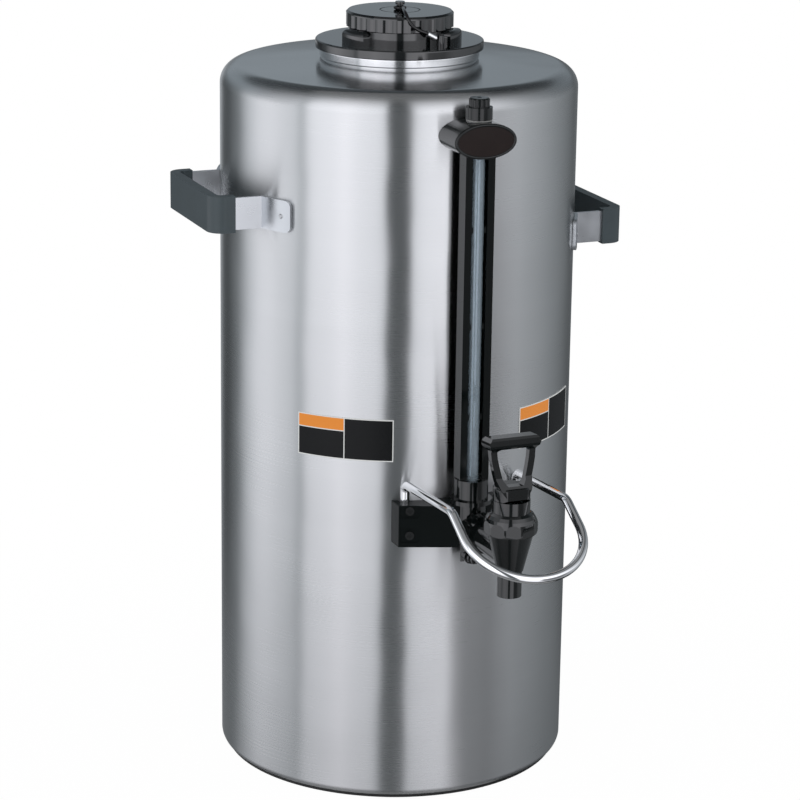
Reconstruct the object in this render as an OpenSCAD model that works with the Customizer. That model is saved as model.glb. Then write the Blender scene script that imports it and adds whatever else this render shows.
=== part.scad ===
// Insulated coffee urn with a tap, a sight gauge and two side handles.
// The Z axis is the axis of the body, the table is z = 0, the tap looks along -Y
// and the handles stand along +X and -X. Azimuths are counted from -Y towards +X.

/* [Body] */
// Outside diameter of the shell
body_d = 254; // [240:1:270]
// Height of the deck where it meets the filling neck
deck_h = 513.5; // [500:0.5:540]
// Radius of the rolled shoulder
shoulder_r = 14.5; // [8:0.5:22]
// Rise of the deck from the shoulder to the neck
deck_rise = 3.5; // [1:0.5:8]
// Thickness of the shell sheet
shell_t = 1; // [0.8:0.1:1.6]

/* [Base] */
// Height of the shell's lower edge above the table
foot_h = 2.2; // [1.6:0.1:5]
// Outer radius of the curl at the shell's lower edge
curl_r = 5; // [3:0.5:7]
// Width of the curl's flange, counted from the shell's inner wall
flange_w = 10; // [8:0.5:14]
// How far the foot ring stands in from the shell's wall
foot_inset = 4; // [2:0.5:6]
// Thickness of the foot ring's upright lip
foot_lip_t = 4; // [3:0.5:8]
// Height of the foot ring's lip above the shell's lower edge
foot_lip_h = 9; // [6:0.5:14]
// Thickness of the base pan
pan_t = 1; // [0.8:0.1:2]
// Diameter of the hole in the middle of the base pan
pan_hole_d = 24; // [10:1:60]

/* [Tank] */
// Thickness of the insulating jacket
jacket_t = 11.4; // [8:0.2:14]
// Thickness of the tank sheet
tank_t = 1; // [0.8:0.1:1.6]
// Depth of the tank floor below the tap's inlet axis
sump_drop = 14.5; // [13:0.5:22]
// Height of the cone that joins the tank wall to its neck
tank_cone_h = 22; // [16:1:32]
// Depth of the top of that cone below the deck
tank_neck_drop = 9; // [6:0.5:14]
// Thickness of the jacket's floor under the tank
jacket_floor_t = 16; // [8:1:30]

/* [Filling neck] */
// Outside diameter of the polished collar
neck_d = 113.4; // [104:0.2:122]
// Height of the collar above the deck
collar_h = 7.5; // [5:0.5:14]
// Wall of the collar
collar_t = 1.6; // [1.2:0.1:3]
// Height of the seam groove at the foot of the collar
seam_h = 1.2; // [0.6:0.1:2]
// Depth of the seam groove
seam_depth = 0.6; // [0.3:0.1:0.9]

/* [Lid] */
// Diameter of the lid's flange
lid_d = 119.2; // [114:0.2:128]
// Thickness of the lid's flange
lid_t = 5.9; // [4:0.1:9]
// Radius of the flange's upper edge
lid_edge_r = 1.2; // [0.5:0.1:1.8]
// Depth of the plug below the flange
plug_h = 20; // [17:0.5:30]
// Wall of the plug
plug_t = 3; // [2:0.5:5]
// Radial room for the gasket between plug and neck
plug_room = 3; // [2.4:0.1:4]
// Height of the gasket band
gasket_h = 6; // [4:0.5:8]
// Depth of the gasket band below the flange
gasket_drop = 6; // [4:0.5:8]
// Bore of the filling hole
fill_d = 56; // [40:1:58]
// Outside diameter of the ring under the screw cap
fill_ring_d = 73; // [70:0.5:76]
// Height of the ring under the screw cap
fill_ring_h = 8.4; // [6:0.2:12]
// Outside diameter of the threaded neck inside the cap
thread_d = 66.8; // [64:0.2:68]
// Height of the threaded neck above the flange
thread_h = 15.6; // [13:0.2:17]
// Reach of the finger lugs from the lid's axis
lug_reach = 44; // [43:0.5:52]
// Height of the finger lugs above the flange
lug_h = 8.8; // [6:0.2:12]
// Number of finger lugs
lug_n = 3; // [2:1:4]
// Angle that each finger lug spans
lug_span = 31; // [24:1:60]
// Azimuth of the middle of the first lug
lug_az = 47; // [0:1:120]

/* [Screw cap] */
// Diameter over the grip flutes
cap_d = 76; // [74:0.5:82]
// Height of the cap's top above the lid's flange
cap_rise = 20.1; // [18:0.1:26]
// Height of the fluted skirt
cap_skirt_h = 11; // [9:0.5:13]
// Thickness of the cap's top
cap_top_t = 3; // [2:0.1:4]
// Width of the chamfer round the cap's top
cap_chamfer = 1.4; // [0.5:0.1:2]
// Height of the smooth rim above the grip flutes
cap_rim_h = 2.2; // [1.6:0.1:4]
// Number of grip flutes
flute_n = 24; // [16:1:40]
// Radius of each grip flute
flute_r = 11; // [6:0.5:14]
// Depth of each grip flute
flute_depth = 0.9; // [0.3:0.1:1]
// Diameter of the shallow ring groove on the cap's top
cap_groove_d = 29; // [20:1:40]
// Diameter of the stud's head in the middle of the cap
stud_d = 6.6; // [5:0.2:9]
// Height of the stud's head above the cap
stud_h = 6; // [5.4:0.2:9]

/* [Tether] */
// Diameter of the tether
tether_d = 2.4; // [1.6:0.1:3]
// Diameter of the crimp sleeve
crimp_d = 4.2; // [3.8:0.1:5.5]
// Height of the anchor post on the lid
anchor_h = 8.5; // [6:0.5:10]
// Diameter of the anchor post
anchor_d = 5; // [4:0.2:7]

/* [Sight gauge] */
// Distance of the gauge's axis from the shell
gauge_off = 14; // [13:0.1:17]
// Outside diameter of the glass tube
tube_d = 9.4; // [8:0.1:10.6]
// Wall of the glass tube
tube_t = 1.3; // [0.8:0.1:2]
// Width of the guard channel
channel_w = 21.5; // [19:0.5:24]
// Wall of the guard channel
channel_t = 1.2; // [1:0.1:1.8]
// Width of the guard's open front
slot_w = 11.4; // [8:0.2:14]
// Depth of the middle of the gauge head below the deck
head_drop = 32.1; // [30:0.1:44]
// Width of the oval gauge head
head_w = 45; // [38:0.5:52]
// Height of the oval gauge head
head_h = 24.4; // [22:0.2:30]
// Distance of the head's face from the shell
head_reach = 27; // [24:0.5:32]
// Width of the rim round the blank badge
badge_rim = 2; // [1:0.1:3]
// Thickness of the badge plate
badge_t = 0.8; // [0.5:0.1:1.5]
// Diameter of the lower gauge fitting
fitting_d = 23.6; // [22:0.1:25]
// Height of the lower gauge fitting
fitting_h = 17.2; // [14:0.2:22]
// Diameter of the fitting's foot ring
fitting_ring_d = 29; // [27:0.5:33]
// Height of the fitting's foot ring
fitting_ring_h = 3; // [2:0.2:4]
// Diameter of the vent cap's skirt
vent_d = 18.2; // [16:0.1:20]
// Height of the vent cap's skirt
vent_h = 8.2; // [7:0.1:12]
// Diameter of the vent cap's knurled knob
vent_knob_d = 14.2; // [12:0.1:15]
// Height of the vent cap's knurled knob
vent_knob_h = 6.2; // [4:0.1:9]
// Number of knurl grooves on the knob
knurl_n = 14; // [8:1:20]
// Diameter of the drain plug's head
drain_d = 7.4; // [6:0.2:9]
// Drop of the drain plug's axis below the bracket
drain_drop = 9.4; // [9:0.2:12]

/* [Bracket] */
// Height of the tap's inlet axis above the table
inlet_z = 208.5; // [200:0.5:220]
// Height of the black bracket cover
cover_h = 31; // [29:0.5:36]
// Drop of the cover's lower edge below the tap's inlet axis
cover_drop = 13.4; // [13:0.1:16]
// Width of the bracket cover
cover_w = 99.4; // [92:0.2:108]
// Distance of the cover's middle edge from the shell
cover_reach = 22; // [20:0.2:25]
// Distance that each wing of the cover falls back
cover_fall = 18.3; // [14:0.1:20]
// Wall of the bracket cover
cover_t = 2.5; // [2:0.1:3.5]
// Distance of the screws from the middle plane
screw_x = 42.5; // [40:0.5:45]
// Height of the upper screws above the tap's inlet axis
screw_rise = 13; // [11:0.5:14]
// Height between the two screws of a wing
screw_pitch = 17.8; // [16:0.2:19]
// Diameter of the screws' heads
screw_head_d = 6.2; // [5:0.2:8]
// Thickness of the steel mount plate
plate_t = 1.5; // [1:0.1:2.5]

/* [Shank] */
// Outside diameter of the inlet shank
shank_d = 16; // [14:0.2:18]
// Bore of the inlet shank
shank_bore = 10; // [7:0.2:11]
// Outside diameter of the coupling nut
coupling_d = 28; // [26:0.5:32]
// Length of the coupling nut
coupling_l = 13; // [10:0.5:15]
// Number of ribs on the coupling nut
coupling_n = 10; // [6:1:16]

/* [Tap] */
// Distance of the tap's axis from the shell
tap_off = 80.5; // [78:0.5:90]
// Outside diameter of the spout
spout_d = 16.8; // [16:0.2:20]
// Height of the spout's mouth above the table
spout_z = 180.2; // [172:0.1:184]
// Bore of the spout
spout_bore = 10.6; // [8:0.2:12]
// Length of the straight part of the spout
spout_h = 17; // [14:0.5:22]
// Height of the conical body above the straight spout
body_cone_h = 28; // [26:0.5:32]
// Diameter of the body under the collar
body_top_d = 31.4; // [30:0.2:33]
// Width across the flats of the bonnet collar
collar_w = 35.2; // [34.4:0.2:37]
// Number of flats on the bonnet collar
collar_n = 10; // [6:2:12]
// Height of the bonnet collar
collar_nut_h = 14.8; // [14:0.1:16]
// Diameter of the bonnet's neck
bonnet_d = 25.8; // [24.4:0.2:27]
// Height of the bonnet's neck
bonnet_h = 8.6; // [7:0.2:10]
// Diameter of the stem
stem_d = 6; // [5:0.1:7]
// Diameter of the handle's pin
pin_d = 2.8; // [2:0.1:3.4]
// Height of the handle's pin above the bonnet's neck
pin_rise = 5.6; // [5.4:0.1:6.2]
// Wire diameter of the closing spring
spring_wire = 1; // [0.6:0.1:1.3]
// Turns of the closing spring
spring_turns = 5; // [3:1:8]

/* [Tap handle] */
// Width of the handle's top bar
grip_bar_w = 37.6; // [34:0.2:42]
// Height of the handle's top above its pin
handle_rise = 38; // [34:0.5:42]
// Height of the handle's top bar
grip_bar_h = 8.2; // [7:0.2:10]
// Depth of the handle's top bar
grip_bar_t = 14.6; // [10:0.2:18]
// Thickness of the handle's frame from front to back
handle_t = 5; // [4:0.2:7]
// Diameter of the handle's hub
hub_d = 25.4; // [24:0.2:25.6]
// Distance of the hub's flat front from the tap's axis
hub_front = 10.4; // [10:0.1:11.4]
// Tilt of the frame towards the urn
handle_lean = 6; // [0:1:9]

/* [Wire guard] */
// Diameter of the guard's rod
rod_d = 6.35; // [5:0.05:8]
// Distance of each leg's axis from the middle plane
leg_x = 42; // [40:0.5:46]
// Height of the legs where they meet the shell
leg_z = 238; // [234:0.5:244]
// Rise of each leg from the shell to the bend
leg_rise = 5; // [0:0.5:8]
// Distance of the bend from the shell's front
bend_off = 77.7; // [72:0.1:84]
// Slope of the loop below the level
loop_slope = 30; // [20:1:40]
// Length of the loop's straight part
loop_straight = 24; // [16:1:32]

/* [Carrying handles] */
// Distance of the grip's outer face from the urn's axis, less the body's radius
grip_out = 30.5; // [28:0.5:36]
// Width over the grip
grip_w = 100; // [90:0.5:106]
// Height of the grip
grip_h = 25.5; // [24.5:0.1:32]
// Thickness of the grip, outside to inside
grip_t = 7; // [6:0.1:9]
// Radius of the grip's outer corners
grip_corner_r = 11; // [9:0.5:14]
// Length of strap left bare between grip and shell
grip_leg = 17.4; // [14:0.2:22]
// Height of the steel strap
strap_h = 22.4; // [18:0.1:23]
// Thickness of the steel strap
strap_t = 2.4; // [1.8:0.1:3]
// Height of the middle of the left handle
left_z = 420; // [360:1:440]
// Height of the middle of the right handle
right_z = 391; // [360:0.5:440]
// Azimuth span of each strap's flange
flange_span = 11.3; // [8:0.1:14]
// Radius of the flange's corners
flange_corner_r = 5; // [2:0.5:8]
// Diameter of the rivet heads
rivet_d = 3.4; // [2.4:0.2:5]

/* [Label panels] */
// Height of the lower edge of the panels
label_z = 253; // [246:0.5:262]
// Height of the panels
label_h = 30; // [20:0.5:36]
// Azimuth of the left panel's outer end
label_left_az = 54; // [50:0.5:56]
// Azimuth of the left panel's inner end
label_left_in = 22.6; // [18:0.2:26]
// Azimuth of the right panel's outer end
label_right_az = 52.4; // [48:0.2:56]
// Azimuth of the right panel's inner end
label_right_in = 21; // [18:0.2:26]
// Thickness of the panels
label_t = 0.4; // [0.2:0.1:0.8]

/* [Hidden] */

$fn = 96;
BIG_FN = 240;
eps = 0.01;

// Clearances
run_gap = 0.06;     // round parts that turn or slide in one another
fit_gap = 0.05;     // round parts that stand in one another
seat_gap = 0.25;    // pieces that lie on the shell
lift_gap = 0.3;     // flat faces of different moving pieces
free_gap = 0.5;     // pieces that pass one another

// Body
body_r = body_d / 2;
shell_ir = body_r - shell_t;
flange_ir = shell_ir - flange_w;
deck_join_z = deck_h - deck_rise - shoulder_r;
seat_r = body_r + seat_gap;
neck_r = neck_d / 2;
neck_top = deck_h + collar_h;
tank_neck_r = neck_r - collar_t - fit_gap;
tank_neck_ir = tank_neck_r - tank_t;
tank_r = shell_ir - jacket_t - 2 * seat_gap;
tank_ir = tank_r - tank_t;
tank_floor_z = inlet_z - sump_drop;
tank_cone_top = deck_h - tank_neck_drop;
tank_wall_top = tank_cone_top - tank_cone_h;

// Lid and cap
lid_r = lid_d / 2;
lid_z = neck_top + lift_gap;
lid_top = lid_z + lid_t;
plug_r = tank_neck_ir - plug_room;
gasket_r = tank_neck_ir - lift_gap;
gasket_ledge = plug_room / 2;
fill_r = fill_d / 2;
thread_r = thread_d / 2;
thread_top = lid_top + thread_h;
cap_r = cap_d / 2;
cap_top = lid_top + cap_rise;
cap_skirt_z = cap_top - cap_skirt_h;
cap_inner_r = thread_r + lift_gap;
seal_z = thread_top + lift_gap;
seal_top = cap_top - cap_top_t - fit_gap;
stud_r = stud_d / 2;
stud_shaft_r = stud_r - 1.4;
ring_r = tether_d / 2;
tether_ring_z = cap_top + ring_r + lift_gap;
tether_ring_r = stud_shaft_r + ring_r + lift_gap;

// Gauge
gauge_y = -(body_r + gauge_off);
tube_r = tube_d / 2;
head_z = deck_h - head_drop;
head_face_y = -(body_r + head_reach);
head_top = head_z + head_h / 2;
vent_z = head_top + 0.2;
vent_neck_r = vent_d / 2 - 0.4;
vent_bore_r = 5;
seal_h = 8;
seal_r = tube_r + 3;
channel_back = tube_r + channel_t + lift_gap;
cover_z = inlet_z - cover_drop;
cover_top = cover_z + cover_h;
fitting_z = cover_top + seat_gap;
fitting_top = fitting_z + fitting_h;
tube_z = fitting_z + 6;
tube_top = head_z + 4.6;
channel_z = fitting_top + seat_gap;
channel_top = head_z - 7.4;

// Bracket
cover_y = -(body_r + cover_reach);
cover_slope = cover_fall / (cover_w / 2);
cover_lean = atan(cover_slope);
tee_r = fitting_d / 2 - 1;
tee_boss_r = shank_d / 2 + 3;
tee_front_y = gauge_y - tee_r - 1;
drain_y = gauge_y - 1.6;
plate_az = asin((cover_w / 2 - cover_t - 4 * seat_gap) / (seat_r + plate_t));
rod_end_z = cover_top - 9;

// Shank and tap
shank_r = shank_d / 2;
shank_head_r = shank_r + 4;
coupling_y = tee_front_y - seat_gap;
tap_y = -(body_r + tap_off);
spout_r = spout_d / 2;
spout_top = spout_z + spout_h;
tap_top = spout_top + body_cone_h;
tap_wall = 2.6;
seat_z = inlet_z - shank_bore / 2 - 0.5;
tap_boss_r = shank_r + 2;
bonnet_z = tap_top + fit_gap;
bonnet_neck_z = bonnet_z + collar_nut_h;
bonnet_top = bonnet_neck_z + bonnet_h;
stem_r = stem_d / 2;
hub_r = hub_d / 2;
pin_r = pin_d / 2;
pin_z = bonnet_top + pin_rise;
spring_r = stem_r + spring_wire / 2 + 0.6;
spring_top = bonnet_top - 3;
spring_z = bonnet_z + 1;
cup_r = 6.6;

// Guard
rod_r = rod_d / 2;
foot_y = -(sqrt(body_r * body_r - leg_x * leg_x) + rod_r + seat_gap);
bend_y = -(body_r + bend_off);
bend_z = leg_z + leg_rise;

// Carrying handles
grip_x = body_r + grip_out;
strap_gap = (grip_t - strap_t) / 2;

// Routes: points in millimetres, chosen by hand
tether_route = [
    [0.6, -5, tether_ring_z], [-3.4, -14, cap_top + 3.3], [-7, -24, cap_top + 3.7], [-9.6, -34, cap_top + 2.5],
    [-9.7, -39.1, cap_top - 0.9], [-7.2, -41.6, cap_top - 5.4], [-3, -42.9, cap_top - 8.3],
    [1.6, -43.4, cap_top - 10.1], [6, -43.54, cap_top - 12.45], [10.3, -43.68, cap_top - 14.8]
];

// ---- helpers ------------------------------------------------------------

function unit(v) = v / norm(v);

// Points of a round of radius r at corner b, on the way from a to c
function corner(a, b, c, r, n) =
    let (u = unit(a - b), v = unit(c - b), half = acos(u * v) / 2,
         mid = b + unit(u + v) * r / sin(half),
         p = b + u * r / tan(half) - mid, q = b + v * r / tan(half) - mid,
         turn = 180 - 2 * half)
    [for (i = [0:n]) mid + (p * sin(turn * (1 - i / n)) + q * sin(turn * i / n)) / sin(turn)];

// A route through the points, with a round of radius radii[i] at each inner point
function rounded(points, radii, n) = [
    points[0],
    for (i = [1:len(points) - 2]) each corner(points[i - 1], points[i], points[i + 1], radii[i - 1], n[i - 1]),
    points[len(points) - 1]
];

// A smooth curve through the points, n steps between each pair
function spline_at(a, b, c, d, t) =
    0.5 * (2 * b + (c - a) * t + (2 * a - 5 * b + 4 * c - d) * t * t + (3 * b - a - 3 * c + d) * t * t * t);
function smooth(points, n) =
    let (last = len(points) - 1)
    [for (i = [0:last - 1], k = [0:n - 1])
        spline_at(points[max(i - 1, 0)], points[i], points[i + 1], points[min(i + 2, last)], k / n),
     points[last]];

function heading(p, i) = unit(p[min(i + 1, len(p) - 1)] - p[max(i - 1, 0)]);

// A round rod of radius r along the route p; up is a direction that the route never takes
module rod(p, r, sides, up) {
    n = len(p);
    rings = [for (i = [0:n - 1])
        let (t = heading(p, i), u = unit(cross(t, up)), v = cross(u, t))
        for (k = [0:sides - 1]) p[i] + r * (u * cos(360 * k / sides) + v * sin(360 * k / sides))];
    polyhedron(
        points = rings,
        faces = [
            [for (k = [0:sides - 1]) k],
            [for (k = [sides - 1:-1:0]) (n - 1) * sides + k],
            for (i = [0:n - 2], k = [0:sides - 1])
                let (a = i * sides + k, b = i * sides + (k + 1) % sides)
                [a, a + sides, b + sides, b]
        ],
        convexity = 6);
}

// A ring between radii inner and outer
module ring(inner, outer, h) {
    difference() {
        cylinder(r = outer, h = h);
        translate([0, 0, -eps]) cylinder(r = inner, h = h + 2 * eps);
    }
}

// A cylinder along -Y from y1 outwards to y2 (y2 < y1), at height z
module along_y(y1, y2, z, r) {
    translate([0, y1, z]) rotate([90, 0, 0]) cylinder(r = r, h = y1 - y2);
}

// A wedge of the plane between two azimuths
module wedge(az1, az2, reach) {
    n = 12;
    polygon([[0, 0], for (i = [0:n]) let (a = az1 + (az2 - az1) * i / n) reach * [sin(a), -cos(a)]]);
}

// A curved plate on the shell between two azimuths
module shell_plate(az1, az2, inner, t, h) {
    linear_extrude(h) intersection() {
        difference() {
            circle(r = inner + t, $fn = BIG_FN);
            circle(r = inner, $fn = BIG_FN);
        }
        wedge(az1, az2, 2 * body_r);
    }
}

// A rectangle from the middle line outwards with two rounded outer corners, in the +X half
module rounded_tab(reach, w, r) {
    translate([0, -w / 2]) square([reach - r, w]);
    translate([0, r - w / 2]) square([reach, w - 2 * r]);
    for (s = [-1, 1]) translate([reach - r, s * (w / 2 - r)]) circle(r = r);
}

// A rectangle on the X axis, w wide and h high, with two rounded upper corners
module rounded_tab_up(w, h, r) {
    translate([-w / 2, 0]) square([w, h - r]);
    translate([r - w / 2, 0]) square([w - 2 * r, h]);
    for (s = [-1, 1]) translate([s * (w / 2 - r), h - r]) circle(r = r);
}

// Half outline of the shell, with a round shoulder
module shell_outline(r, top, corner_r) {
    intersection() {
        union() {
            square([r - corner_r, top]);
            square([r, top - corner_r]);
            translate([r - corner_r, top - corner_r]) circle(r = corner_r);
        }
        square([r, top]);
    }
}

// ---- body ---------------------------------------------------------------

// What is cut off round the foot of a wall of radius r that starts at height z
module curl_corner(r, z, edge_r) {
    difference() {
        translate([r - edge_r, z - 1]) square([edge_r + 1, edge_r + 1]);
        translate([r - edge_r, z + edge_r]) circle(r = edge_r);
    }
}

// Section of the outer sheet from its curl to the neck
module shell_section() {
    difference() {
        union() {
            shell_outline(body_r, deck_h - deck_rise, shoulder_r);
            polygon([
                [0, deck_h - deck_rise - eps], [body_r - shoulder_r, deck_h - deck_rise - eps],
                [body_r - shoulder_r, deck_h - deck_rise], [neck_r, deck_h], [0, deck_h]
            ]);
        }
        difference() {
            shell_outline(shell_ir, deck_h - deck_rise - shell_t, shoulder_r - shell_t);
            square([body_r, foot_h + shell_t]);
            curl_corner(shell_ir, foot_h + shell_t, curl_r - shell_t);
        }
        polygon([
            [0, deck_h - deck_rise - shell_t - eps],
            [body_r - shoulder_r, deck_h - deck_rise - shell_t - eps],
            [neck_r, deck_h - shell_t], [0, deck_h - shell_t]
        ]);
        square([body_r + 1, foot_h]);
        square([flange_ir, foot_h + 2 * shell_t]);
        curl_corner(body_r, foot_h, curl_r);
        square([tank_neck_r + fit_gap, 2 * deck_h]);
    }
}

module outer_shell() {
    color("silver") difference() {
        rotate_extrude($fn = BIG_FN) intersection() {
            shell_section();
            square([body_r + 1, deck_join_z]);
        }
        along_y(-shell_ir / 2, -2 * body_r, inlet_z, shank_r + free_gap);
        along_y(-shell_ir / 2, -2 * body_r, head_z, stud_hole_r);
    }
}

// The drawn top with its shoulder, welded to the wall
module deck() {
    color("silver") rotate_extrude($fn = BIG_FN) intersection() {
        shell_section();
        translate([0, deck_join_z]) square([body_r + 1, deck_h]);
    }
}
stud_hole_r = 2.8;

// A rubber ring under the flange with a lip that stands up in its hole
module foot_ring() {
    inner = flange_ir - fit_gap - foot_lip_t;
    color("#202122") {
        ring(inner, body_r - foot_inset, foot_h);
        ring(inner, flange_ir - fit_gap, foot_h + foot_lip_h);
    }
}

module base_pan() {
    color("gray") translate([0, 0, foot_h + foot_lip_h])
        ring(pan_hole_d / 2, shell_ir - seat_gap, pan_t);
}

// Half outline of the tank or, made larger, of the room for it
module tank_outline(r, neck, floor_z, top) {
    polygon([
        [0, floor_z], [r, floor_z], [r, tank_wall_top], [neck, tank_cone_top], [neck, top], [0, top]
    ]);
}

module tank() {
    color("lightgray") difference() {
        rotate_extrude($fn = BIG_FN) difference() {
            tank_outline(tank_r, tank_neck_r, tank_floor_z, neck_top);
            tank_outline(tank_ir, tank_neck_ir, tank_floor_z + tank_t, neck_top + 1);
        }
        along_y(-tank_ir / 2, -2 * tank_r, inlet_z, shank_r + fit_gap);
    }
}

module insulation() {
    color("khaki") difference() {
        rotate_extrude($fn = BIG_FN) difference() {
            translate([0, tank_floor_z - jacket_floor_t - seat_gap])
                square([shell_ir - seat_gap, tank_wall_top - tank_floor_z + jacket_floor_t]);
            translate([0, tank_floor_z - seat_gap])
                square([tank_r + seat_gap, tank_wall_top - tank_floor_z + jacket_floor_t]);
        }
        along_y(-tank_ir / 2, -2 * tank_r, inlet_z, shank_head_r + 2);
        along_y(-shell_ir / 2, -2 * tank_r, head_z, stud_nut_r + 1);
    }
}

module neck_collar() {
    color("white") translate([0, 0, deck_h]) {
        ring(neck_r - collar_t, neck_r - seam_depth, seam_h);
        translate([0, 0, seam_h]) ring(neck_r - collar_t, neck_r, collar_h - seam_h);
    }
}

// ---- lid and screw cap --------------------------------------------------

// One finger lug, its middle along -Y: a block on the ring with rounded upper ends
module finger_lug() {
    end = lug_span / 2 * PI / 180 * lug_reach;
    intersection() {
        rotate_extrude() difference() {
            shell_outline(lug_reach, lug_h, lug_edge_r);
            square([fill_ring_d / 2 - 1, 2 * lug_h]);
        }
        translate([0, -fill_ring_d / 2 + 6, 0]) rotate([90, 0, 0]) linear_extrude(lug_reach)
            rounded_tab_up(2 * end, lug_h, lug_round);
    }
}
lug_round = 4.2;
lug_edge_r = 3.8;

module lid() {
    color("#26282a") difference() {
        union() {
            translate([0, 0, lid_z]) rotate_extrude($fn = BIG_FN) shell_outline(lid_r, lid_t, lid_edge_r);
            translate([0, 0, lid_z - plug_h]) cylinder(r = plug_r, h = plug_h + eps);
            translate([0, 0, lid_z - gasket_drop - gasket_h - gasket_ledge])
                cylinder(r = plug_r + gasket_ledge, h = gasket_ledge);
            translate([0, 0, lid_top - eps]) cylinder(r = fill_ring_d / 2, h = fill_ring_h + eps);
            translate([0, 0, lid_top - eps]) cylinder(r = thread_r, h = thread_h + eps);
            for (i = [0:lug_n - 1]) rotate([0, 0, lug_az + 360 * i / lug_n])
                translate([0, 0, lid_top - eps]) finger_lug();
        }
        translate([0, 0, lid_top + fill_ring_h]) ring(thread_r, cap_r + free_gap, lug_h);
        translate([0, 0, lid_z - plug_h - 1]) cylinder(r = plug_r - plug_t, h = plug_h + 1);
        translate([0, 0, lid_z - 1]) cylinder(r = fill_r, h = lid_t + thread_h + 2);
    }
}

module lid_gasket() {
    color("dimgray") translate([0, 0, lid_z - gasket_drop - gasket_h])
        ring(plug_r + fit_gap, gasket_r, gasket_h);
}

// A funnel that hangs from the filling hole into the tank
module fill_funnel() {
    lip_r = fill_r + 4;
    color("lightgray") rotate_extrude() polygon([
        [funnel_mouth_r, lid_z - funnel_h], [fill_r - 1, lid_z - funnel_t], [lip_r, lid_z - funnel_t],
        [lip_r, lid_z - fit_gap], [fill_r - 1, lid_z - fit_gap],
        [fill_r - 1 - funnel_t, lid_z - fit_gap], [funnel_mouth_r - funnel_t, lid_z - funnel_h]
    ]);
}
funnel_h = 34;
funnel_t = 1.2;
funnel_mouth_r = 13;

anchor_at = [13.4, -42.8];
module tether_anchor() {
    color("#1a1b1c") translate([anchor_at[0], anchor_at[1], lid_top]) {
        cylinder(d = anchor_d, h = anchor_h - 1);
        translate([0, 0, anchor_h - 1]) cylinder(d1 = anchor_d, d2 = anchor_d - 1.4, h = 1, $fn = 48);
    }
}

module cap_seal() {
    color("dimgray") translate([0, 0, seal_z]) ring(fill_r, thread_r, seal_top - seal_z);
}

module tether_ring() {
    color("#1a1b1c") translate([0, 0, tether_ring_z]) rotate_extrude($fn = 48)
        translate([tether_ring_r, 0]) circle(r = ring_r, $fn = 24);
}

module tether() {
    color("#1a1b1c") rod(smooth(tether_route, 4), tether_d / 2, 8, [0.3, -0.4, 1]);
}

// The sleeve that clamps the tether's end below the cap's edge
module tether_crimp() {
    a = tether_route[len(tether_route) - 3];
    b = tether_route[len(tether_route) - 1];
    d = b - a;
    color("silver") translate(a + 0.15 * d)
        rotate([0, acos(d[2] / norm(d)), atan2(d[1], d[0])])
            ring(tether_d / 2 + 2 * fit_gap, crimp_d / 2, 0.7 * norm(d));
}

module screw_cap() {
    color("#26282a") difference() {
        rotate_extrude($fn = BIG_FN) polygon([
            [0, cap_skirt_z], [cap_r, cap_skirt_z], [cap_r, cap_top - cap_chamfer],
            [cap_r - cap_chamfer, cap_top], [0, cap_top]
        ]);
        translate([0, 0, cap_skirt_z - 1]) cylinder(r = cap_inner_r, h = cap_skirt_h - cap_top_t + 1);
        for (i = [0:flute_n - 1]) rotate([0, 0, 360 * (i + flute_turn) / flute_n])
            translate([cap_r + flute_r - flute_depth, 0, cap_skirt_z - 1])
                cylinder(r = flute_r, h = cap_skirt_h - cap_rim_h + 1);
        translate([0, 0, cap_top - cap_groove_depth])
            ring(cap_groove_d / 2 - cap_groove_w, cap_groove_d / 2, cap_groove_depth + 1);
        translate([0, 0, cap_skirt_z]) cylinder(r = stud_shaft_r, h = cap_skirt_h + 1);
    }
}
cap_groove_depth = 0.5;
cap_groove_w = 1;
flute_turn = 0.67;

module cap_stud() {
    color("#1a1b1c") {
        translate([0, 0, cap_top - cap_top_t]) cylinder(r = stud_shaft_r - fit_gap, h = cap_top_t + stud_h - 1);
        translate([0, 0, cap_top + stud_h - stud_head_h]) cylinder(r = stud_r, h = stud_head_h);
        translate([0, 0, cap_top - cap_top_t - 1]) cylinder(r = stud_r, h = 1);
    }
}
stud_head_h = 2.2;

// ---- sight gauge --------------------------------------------------------

// An ellipse of width w and height h in the XZ plane, pulled along -Y from y1 to y2
module oval(w, h, y1, y2) {
    translate([0, y1, head_z]) rotate([90, 0, 0])
        linear_extrude(y1 - y2) polygon([for (i = [0:71]) [w / 2 * cos(5 * i), h / 2 * sin(5 * i)]]);
}

// The space that the guard channel fills, larger by gap
module channel_room(gap, z1, z2) {
    translate([-channel_w / 2 - gap, gauge_y - tube_r - gap, z1])
        cube([channel_w + 2 * gap, channel_back + tube_r + 2 * gap, z2 - z1]);
}

module gauge_head() {
    color("#1c1d1f") difference() {
        union() {
            oval(head_w, head_h, -body_r / 2, head_face_y + badge_rim / 2);
            oval(head_w - badge_rim, head_h - badge_rim, head_face_y + badge_rim / 2 + eps, head_face_y);
            translate([0, gauge_y, head_z]) cylinder(r = vent_neck_r, h = vent_z - head_z);
        }
        cylinder(r = seat_r, h = 2 * deck_h, $fn = BIG_FN);
        channel_room(seat_gap, channel_top - head_h, channel_top + seat_gap);
        translate([0, gauge_y, channel_top]) cylinder(r = seal_r + fit_gap, h = tube_top - channel_top);
        translate([0, gauge_y, head_z]) cylinder(r = vent_bore_r + run_gap, h = head_h);
        oval(head_w - 2 * badge_rim, head_h - 2 * badge_rim, head_face_y + badge_t, head_face_y - 1);
        along_y(-body_r / 2, head_stud_y, head_z, stud_hole_r - fit_gap);
    }
}

module badge_plate() {
    color("black") oval(head_w - 2 * badge_rim - 2 * fit_gap, head_h - 2 * badge_rim - 2 * fit_gap,
        head_face_y + badge_t, head_face_y + badge_t / 4);
}

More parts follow.
